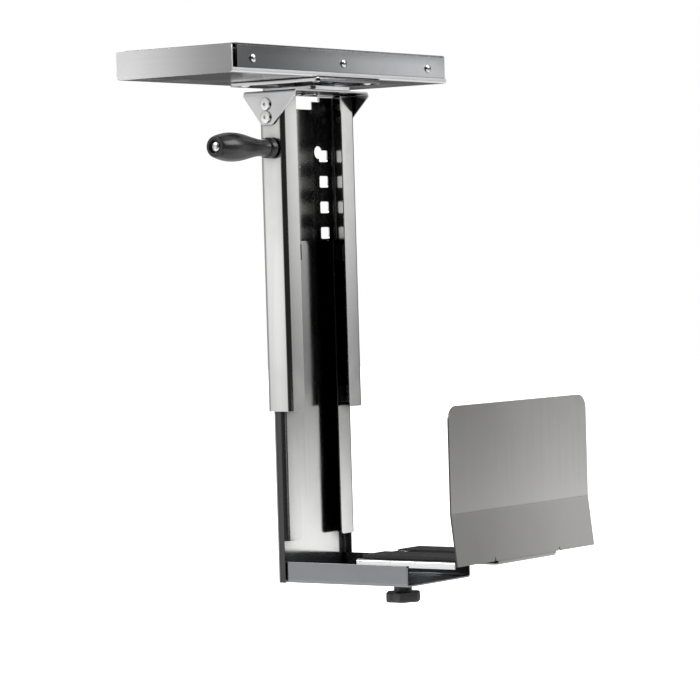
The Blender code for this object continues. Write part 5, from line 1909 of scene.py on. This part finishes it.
@dataclass
class SideArm:
    """Sliding arm bent up into the side plate, with its two ribbed pads."""

    sheet: float = 1.5 * MM
    plate_x: float = 225.9 * MM
    kick: float = 5.4 * MM
    lower: float = 45.7 * MM
    foot_rise: float = 2.6 * MM
    corner: float = 13.0 * MM
    crease: float = 7.5 * MM
    arm_half: float = 50.2 * MM
    arm_flange: float = 6.8 * MM
    arm_fold: float = 2.5 * MM
    flange_end: float = 186.0 * MM
    foot_fold: float = 3.4 * MM
    foot_lap: float = 4.0 * MM
    slot: tuple[float, float, float] = (84.2 * MM, 167.8 * MM, 7.0 * MM)
    notch: tuple[float, float, float] = (54.0 * MM, 5.0 * MM, 3.4 * MM)
    notch_tip: float = 0.4 * MM
    rib_count: int = 9
    rib_height: float = 1.2 * MM

    def _plate(self, low: Vector, high: Vector, arm_top: float) -> BMesh:
        """Fold the side plate and round its upper corners.

        Args:
            low: Lowest corner of the whole piece.
            high: Its highest corner.
            arm_top: Height of the arm.

        Returns:
            The plate.
        """
        bottom = arm_top + self.foot_rise
        crease = bottom + self.lower
        outer = self.plate_x + self.sheet
        path = ((outer + self.kick, bottom), (outer, crease), (outer, high.z))
        bm = folded(path, Axis.Y, low.y, high.y, (self.crease,), 10)
        corners = [vert for vert in bm.verts if vert.co.z > high.z - 0.01 * MM
                   and abs(abs(vert.co.y) - high.y) < 0.01 * MM]
        round_off(bm, corners, self.corner, 12, "VERTICES")
        return thickened(bm, (low.x, 0, crease), self.sheet)

    def _rail(self, low: Vector, arm_top: float) -> BMesh:
        """Fold the arm's rail, open downwards.

        Args:
            low: Lowest corner of the whole piece.
            arm_top: Height of the arm.

        Returns:
            The rail.
        """
        skirt = arm_top - self.arm_flange
        path = ((-self.arm_half, skirt), (-self.arm_half, arm_top),
                (self.arm_half, arm_top), (self.arm_half, skirt))
        face = folded(path, Axis.X, low.x, self.plate_x + self.kick - 4 * MM,
                      (self.arm_fold, self.arm_fold))
        return thickened(face, (self.plate_x / 2, 0, skirt), self.sheet)

    def _foot(self, arm_top: float) -> BMesh:
        """Fold the strip that joins the rail to the plate.

        Args:
            arm_top: Height of the arm.

        Returns:
            The strip.
        """
        bottom = arm_top + self.foot_rise
        slope = self.kick / self.lower
        skin = 0.1 * MM
        outer = self.plate_x + self.sheet + self.kick - skin
        under = arm_top - self.sheet + skin
        path = ((self.plate_x - self.foot_lap, under),
                (outer + slope * (self.foot_rise + self.sheet), under),
                (outer - slope * self.foot_lap, bottom + self.foot_lap))
        half = self.arm_half - self.arm_fold - skin
        face = folded(path, Axis.Y, -half, half, (self.foot_fold,), 8)
        return thickened(face, (self.plate_x - 0.05, 0, bottom + 0.1),
                         self.sheet - 2 * skin)

    def build_arm(self) -> None:
        """Weld rail, foot and plate into one piece and cut its slot and notches."""
        low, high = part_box("side_plate_arm")
        arm_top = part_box("arm_pad_near")[0].z - 0.3 * MM
        part = Workpiece("side_plate_pressed", self._plate(low, high, arm_top))
        part.add(self._rail(low, arm_top))
        neck = self.arm_half - self.arm_fold
        edge = self.arm_half + MM
        far_x, floor_z, top_z = high.x + MM, low.z - MM, arm_top + MM
        part.cut(block((self.flange_end, -edge, floor_z), (far_x, -neck, top_z)),
                 block((self.flange_end, neck, floor_z), (far_x, edge, top_z)))
        part.add(self._foot(arm_top))
        start, end, wide = self.slot
        part.cut(rounded_block((start, -wide / 2, arm_top - 4 * MM),
                               (end, wide / 2, arm_top + MM), Axis.Z, wide * 0.49, 8))
        y, notch_wide, tall = self.notch
        bottom = arm_top + self.foot_rise
        tools = []
        for way in (-1, 1):
            tool = block((self.plate_x - MM, way * y - notch_wide / 2, bottom - 2 * MM),
                         (high.x + 2 * MM, way * y + notch_wide / 2, bottom + tall))
            for vert in (corner for corner in tool.verts if corner.co.z > bottom):
                vert.co.y = way * y + math.copysign(self.notch_tip, vert.co.y - way * y)
            tools.append(tool)
        part.cut(*tools).soften(0.25 * MM, 3)
        part.face_with(CUT_EDGE, lambda face: abs(face.normal.x) < 0.5
                       and face.center.x > self.plate_x - MM
                       and abs(face.center.y) > self.arm_half)
        # painted highlight on the arm's near flange
        part.face_with(PAINTED_HIGHLIGHT_STEEL, lambda face: face.normal.y < -0.9
                       and face.center.y < self.sheet - self.arm_half
                       and face.center.z < arm_top)
        part.hand_over(PLATE_STEEL, "side_plate_arm")

    def build_pad(self, node: str) -> None:
        """Mould one pad, its top ribbed lengthways."""
        low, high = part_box(node)
        root = high.z - self.rib_height
        bm = block(low, (high.x, high.y, root))
        across = [edge for edge in bm.edges
                  if abs(edge.verts[0].co.y - edge.verts[1].co.y) > MM]
        bmesh.ops.subdivide_edges(bm, edges=across, cuts=2 * self.rib_count,
                                  use_grid_fill=True)
        tops = sorted((face for face in bm.faces
                       if all(vert.co.z > root - 0.01 * MM for vert in face.verts)),
                      key=lambda face: face.calc_center_median().y)
        grown = bmesh.ops.extrude_discrete_faces(bm, faces=tops[0::2])["faces"]
        lifted = {vert for face in grown for vert in face.verts}
        bmesh.ops.translate(bm, verts=list(lifted), vec=(0, 0, self.rib_height))
        bmesh.ops.recalc_face_normals(bm, faces=bm.faces)
        part = Workpiece(node + "_ribbed", bm)
        part.soften(0.2 * MM).hand_over(RUBBER_BLACK, node)

    def build(self) -> None:
        """Build the arm and its pads."""
        self.build_arm()
        for node in ("arm_pad_near", "arm_pad_far"):
            self.build_pad(node)


@dataclass
class ClampKnob:
    """Lobed knob under the base, on its threaded stud."""

    lobes: int = 6
    lobe_depth: float = 2.2 * MM
    body: float = 9.6 * MM
    neck: float = 16.8 * MM
    rim: float = 1.6 * MM
    pitch: float = 1.0 * MM
    thread_depth: float = 0.45 * MM
    stud_bore: float = 6.2 * MM
    cap_recess: tuple[float, float] = (15.0 * MM, 0.8 * MM)
    neck_flare: tuple[float, float] = (1.6 * MM, 1.2 * MM)

    def build_knob(self) -> None:
        """Mould the lobed body with its neck."""
        low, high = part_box("clamp_knob")
        spot = middle("clamp_knob")
        radius = (high.x - low.x) / 2
        bm = rod((0, 0, low.z), (0, 0, low.z + self.body), 2 * radius, 96)
        for vert in bm.verts:
            angle = math.atan2(vert.co.y, vert.co.x)
            dip = self.lobe_depth / 2 * (1 - math.cos(self.lobes * angle))
            vert.co.xy *= (radius - dip) / radius
        rims = [edge for edge in bm.edges
                if abs(edge.verts[0].co.z - edge.verts[1].co.z) < 0.01 * MM]
        round_off(bm, rims, self.rim, 5)
        bmesh.ops.translate(bm, verts=bm.verts, vec=(spot.x, spot.y, 0))
        part = Workpiece("clamp_knob_moulded", bm)
        tall = high.z - low.z - self.body
        flare, rise = self.neck_flare
        neck = ((-MM, 0.0), (-MM, self.neck / 2 + flare), (rise, self.neck / 2),
                (tall, self.neck / 2), (tall, 0.0))
        part.add(lathe(neck, (spot.x, spot.y, low.z + self.body), (0, 0, 1), 56))
        cap, depth = self.cap_recess
        part.cut(rod((spot.x, spot.y, low.z + self.body / 2), (spot.x, spot.y, high.z + MM),
                     self.stud_bore),
                 rod((spot.x, spot.y, low.z - MM), (spot.x, spot.y, low.z + depth), cap, 48))
        part.soften(0.3 * MM, 3).hand_over(KNOB_BLACK, "clamp_knob")

    def build_stud(self) -> None:
        """Cut the stud's thread."""
        low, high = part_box("clamp_stud")
        spot = middle("clamp_stud")
        crest = high.x - spot.x
        core = crest - self.thread_depth
        length = high.z - low.z
        profile = ((0.0, 0.0), (0.0, core), (length, core), (length, 0.0))
        ridge = thread_ridge(core - 0.1 * MM, crest, 0.2 * MM, length - 1.6 * MM, self.pitch,
                             self.pitch * 0.8, 0.0, 20)
        bm = joined([lathe(profile, (0, 0, 0), (0, 0, 1), 32), ridge])
        bmesh.ops.translate(bm, verts=bm.verts, vec=(spot.x, spot.y, low.z))
        Workpiece("clamp_stud_threaded", bm).soften(0.05 * MM).hand_over(SCREW_ZINC,
                                                                         "clamp_stud")

    def build(self) -> None:
        """Build the clamp."""
        self.build_knob()
        self.build_stud()


# ---- studio

@dataclass(frozen=True)
class SoftLight:
    """A soft upright patch of light in the room, as reflections see it.

    Attributes:
        bearing: Angle round +Z from +X, in degrees.
        sharpness: How narrow the patch is from side to side.
        profile: Angle above level, in degrees, and brightness, from low to high.
    """

    bearing: float
    sharpness: float
    profile: tuple[Point2, ...]

    @property
    def direction(self) -> Vector:
        """Level unit vector towards the patch."""
        round_z = math.radians(self.bearing)
        return Vector((math.cos(round_z), math.sin(round_z), 0.0))


@dataclass
class Studio:
    """White floor, soft patches of room light, lamps and the camera."""

    floor_z: float = -0.72
    floor_radius: float = 14.0
    floor_glow: float = 1.0
    background: float = 1.0
    room: float = 0.02
    ceiling: tuple[float, float] = (0.5, 0.75)
    ceiling_glow: float = 0.8
    patches: tuple[SoftLight, ...] = (
        SoftLight(54.5, 30.0, ((-30.0, 0.2), (-9.0, 0.8), (-5.0, 1.15), (-4.2, 1.1),
                               (-3.4, 0.5), (-2.6, 0.2), (-1.4, 0.3), (0.0, 0.62),
                               (1.6, 1.0), (4.5, 1.0), (6.5, 0.36), (8.0, 0.24),
                               (16.0, 0.2), (40.0, 0.1))),
        SoftLight(-126.0, 28.0, ((-30.0, 0.1), (-9.0, 0.9), (-5.0, 0.95), (-4.0, 0.7),
                                 (-3.0, 0.6), (-1.9, 1.05), (0.8, 1.3), (2.2, 0.8),
                                 (3.6, 0.58), (9.0, 0.5), (40.0, 0.2))),
        SoftLight(190.0, 12.0, ((-30.0, 0.2), (0.0, 0.5), (40.0, 0.4))),
        SoftLight(0.0, 0.0, ((-50.0, 0.85), (-22.0, 0.8), (-11.0, 0.0), (0.0, 0.0))),
    )
    lamps: tuple[tuple[str, Triple, float, float], ...] = (
        ("key_lamp", (-1.6, -2.2, 1.4), 1.2, 38.0),
        ("fill_lamp", (2.2, 1.6, 1.2), 1.4, 30.0),
        ("top_lamp", (0.1, -0.2, 2.4), 2.0, 60.0),
    )
    camera_at: Triple = (1.7927, -2.4505, -0.2052)
    azimuth: float = 35.55
    tilt: float = 1.435
    roll: float = -1.682
    lens: float = 165.46
    sensor: float = 36.0

    def build_floor(self) -> None:
        """Lay the round paper floor."""
        bm = bmesh.new()
        bmesh.ops.create_circle(bm, cap_ends=True, segments=96, radius=self.floor_radius,
                                matrix=Matrix.Translation((0, 0, self.floor_z)))
        floor = Workpiece("studio_floor", bm).obj
        paper = FLOOR_PAPER.material()
        paper.node_tree.nodes["Principled BSDF"].inputs["Emission Strength"].default_value = (
            self.floor_glow)
        floor.data.materials.append(paper)
        floor.visible_glossy = False
        floor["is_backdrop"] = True

    def profile(self, wiring: Wiring, height: NodeSocket,
                stops: Sequence[Point2]) -> NodeSocket:
        """Brightness by height above level.

        Args:
            wiring: The room's wiring.
            height: Height above level, in radians.
            stops: Height in degrees and brightness, from low to high.

        Returns:
            The brightness.
        """
        low, high = stops[0][0], stops[-1][0]
        peak = max(brightness for _, brightness in stops)
        ramp = wiring.node("ShaderNodeValToRGB")
        share = wiring.remap(height, math.radians(low), math.radians(high), 0.0, 1.0)
        wiring.join(share, ramp.inputs["Fac"])
        marks = ramp.color_ramp.elements
        for angle, brightness in stops:
            place = (angle - low) / (high - low)
            if angle == low:
                mark = marks[0]
            elif angle == high:
                mark = marks[len(marks) - 1]
            else:
                mark = marks.new(place)
            mark.color = (*(brightness / peak,) * 3, 1.0)
        return wiring.maths("MULTIPLY", ramp.outputs["Color"], peak)

    def build_room(self) -> None:
        """Wire the room: soft patches in reflections, plain white behind."""
        world = bpy.data.worlds.new("studio_room")
        bpy.context.scene.world = world
        world.use_nodes = True
        wiring = Wiring(world.node_tree)
        sky = world.node_tree.nodes["Background"]
        out = world.node_tree.nodes["World Output"]
        heading = wiring.node("ShaderNodeTexCoord").outputs["Generated"]
        level = wiring.node("ShaderNodeVectorMath", operation="MULTIPLY")
        level.inputs[1].default_value = (1.0, 1.0, 0.0)
        wiring.join(heading, level.inputs[0])
        compass = wiring.node("ShaderNodeVectorMath", operation="NORMALIZE")
        wiring.join(level.outputs[0], compass.inputs[0])
        parted = wiring.node("ShaderNodeSeparateXYZ")
        wiring.join(heading, parted.inputs[0])
        height = wiring.maths("ARCSINE", parted.outputs["Z"])
        total = wiring.remap(height, *self.ceiling, self.room, self.ceiling_glow)
        for patch in self.patches:
            facing = wiring.node("ShaderNodeVectorMath", operation="DOT_PRODUCT")
            facing.inputs[1].default_value = patch.direction
            wiring.join(compass.outputs[0], facing.inputs[0])
            near = wiring.maths("MAXIMUM", facing.outputs["Value"], 0.0)
            glow = wiring.maths("POWER", near, patch.sharpness)
            strength = self.profile(wiring, height, patch.profile)
            total = wiring.maths("ADD", wiring.maths("MULTIPLY", glow, strength), total)
        wiring.feed(sky, Color=WHITE, Strength=total)
        plain = wiring.node("ShaderNodeBackground")
        wiring.feed(plain, Color=WHITE, Strength=self.background)
        choose = wiring.node("ShaderNodeMixShader")
        seen = wiring.node("ShaderNodeLightPath").outputs["Is Camera Ray"]
        wiring.join(seen, choose.inputs["Fac"])
        wiring.join(sky.outputs[0], choose.inputs[1])
        wiring.join(plain.outputs[0], choose.inputs[2])
        wiring.join(choose.outputs[0], out.inputs["Surface"])

    def build_lamp(self, name: str, at: Sequence[float], size: float, power: float) -> None:
        """Hang a square soft lamp aimed at the holder.

        Args:
            name: Name of the lamp.
            at: Its place.
            size: Its side.
            power: Its power in watts.
        """
        light = bpy.data.lights.new(name, "AREA")
        light.size = size
        light.energy = power
        lamp = bpy.data.objects.new(name, light)
        low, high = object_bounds()
        aim = (Vector(low) + Vector(high)) / 2 - Vector(at)
        lamp.location = at
        lamp.rotation_euler = aim.to_track_quat("-Z", "Y").to_euler()
        bpy.context.scene.collection.objects.link(lamp)

    def build_camera(self) -> None:
        """Set up the camera."""
        a, e, r = (math.radians(angle) for angle in (self.azimuth, self.tilt, self.roll))
        back = Vector((math.sin(a) * math.cos(e), -math.cos(a) * math.cos(e), math.sin(e)))
        right = Vector((math.cos(a), math.sin(a), 0.0))
        up = back.cross(right)
        across = math.cos(r) * right + math.sin(r) * up
        upward = -math.sin(r) * right + math.cos(r) * up
        turn = Matrix((across, upward, back)).transposed()
        data = bpy.data.cameras.new("studio_camera")
        data.lens = self.lens
        data.sensor_width = self.sensor
        data.sensor_fit = "HORIZONTAL"
        data.clip_end = 100.0
        camera = bpy.data.objects.new("studio_camera", data)
        camera.matrix_world = Matrix.Translation(self.camera_at) @ turn.to_4x4()
        bpy.context.scene.collection.objects.link(camera)
        bpy.context.scene.camera = camera

    def build(self) -> None:
        """Build the studio."""
        self.build_camera()
        self.build_floor()
        self.build_room()
        for lamp in self.lamps:
            self.build_lamp(*lamp)
        bpy.context.scene.view_settings.view_transform = "Standard"


def plain(corners: Iterable[Sequence[float]]) -> list[list[float]]:
    """Corners of a box as plain lists."""
    return [[float(number) for number in corner] for corner in corners]


def main() -> None:
    """Build every sub-assembly, then the studio."""
    logging.basicConfig(level=logging.INFO, format="%(message)s")
    packed = plain(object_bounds())
    for assembly in (DeskMount(), SlidePair(), Carriage(), SwivelHead(), Sleeve(), Lift(),
                     HeightDrive(), SideArm(), ClampKnob()):
        log.info("-- %s", type(assembly).__name__)
        assembly.build()
    Studio().build()
    {"cad": packed, "visual": plain(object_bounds())}


if __name__ == "__main__":
    main()
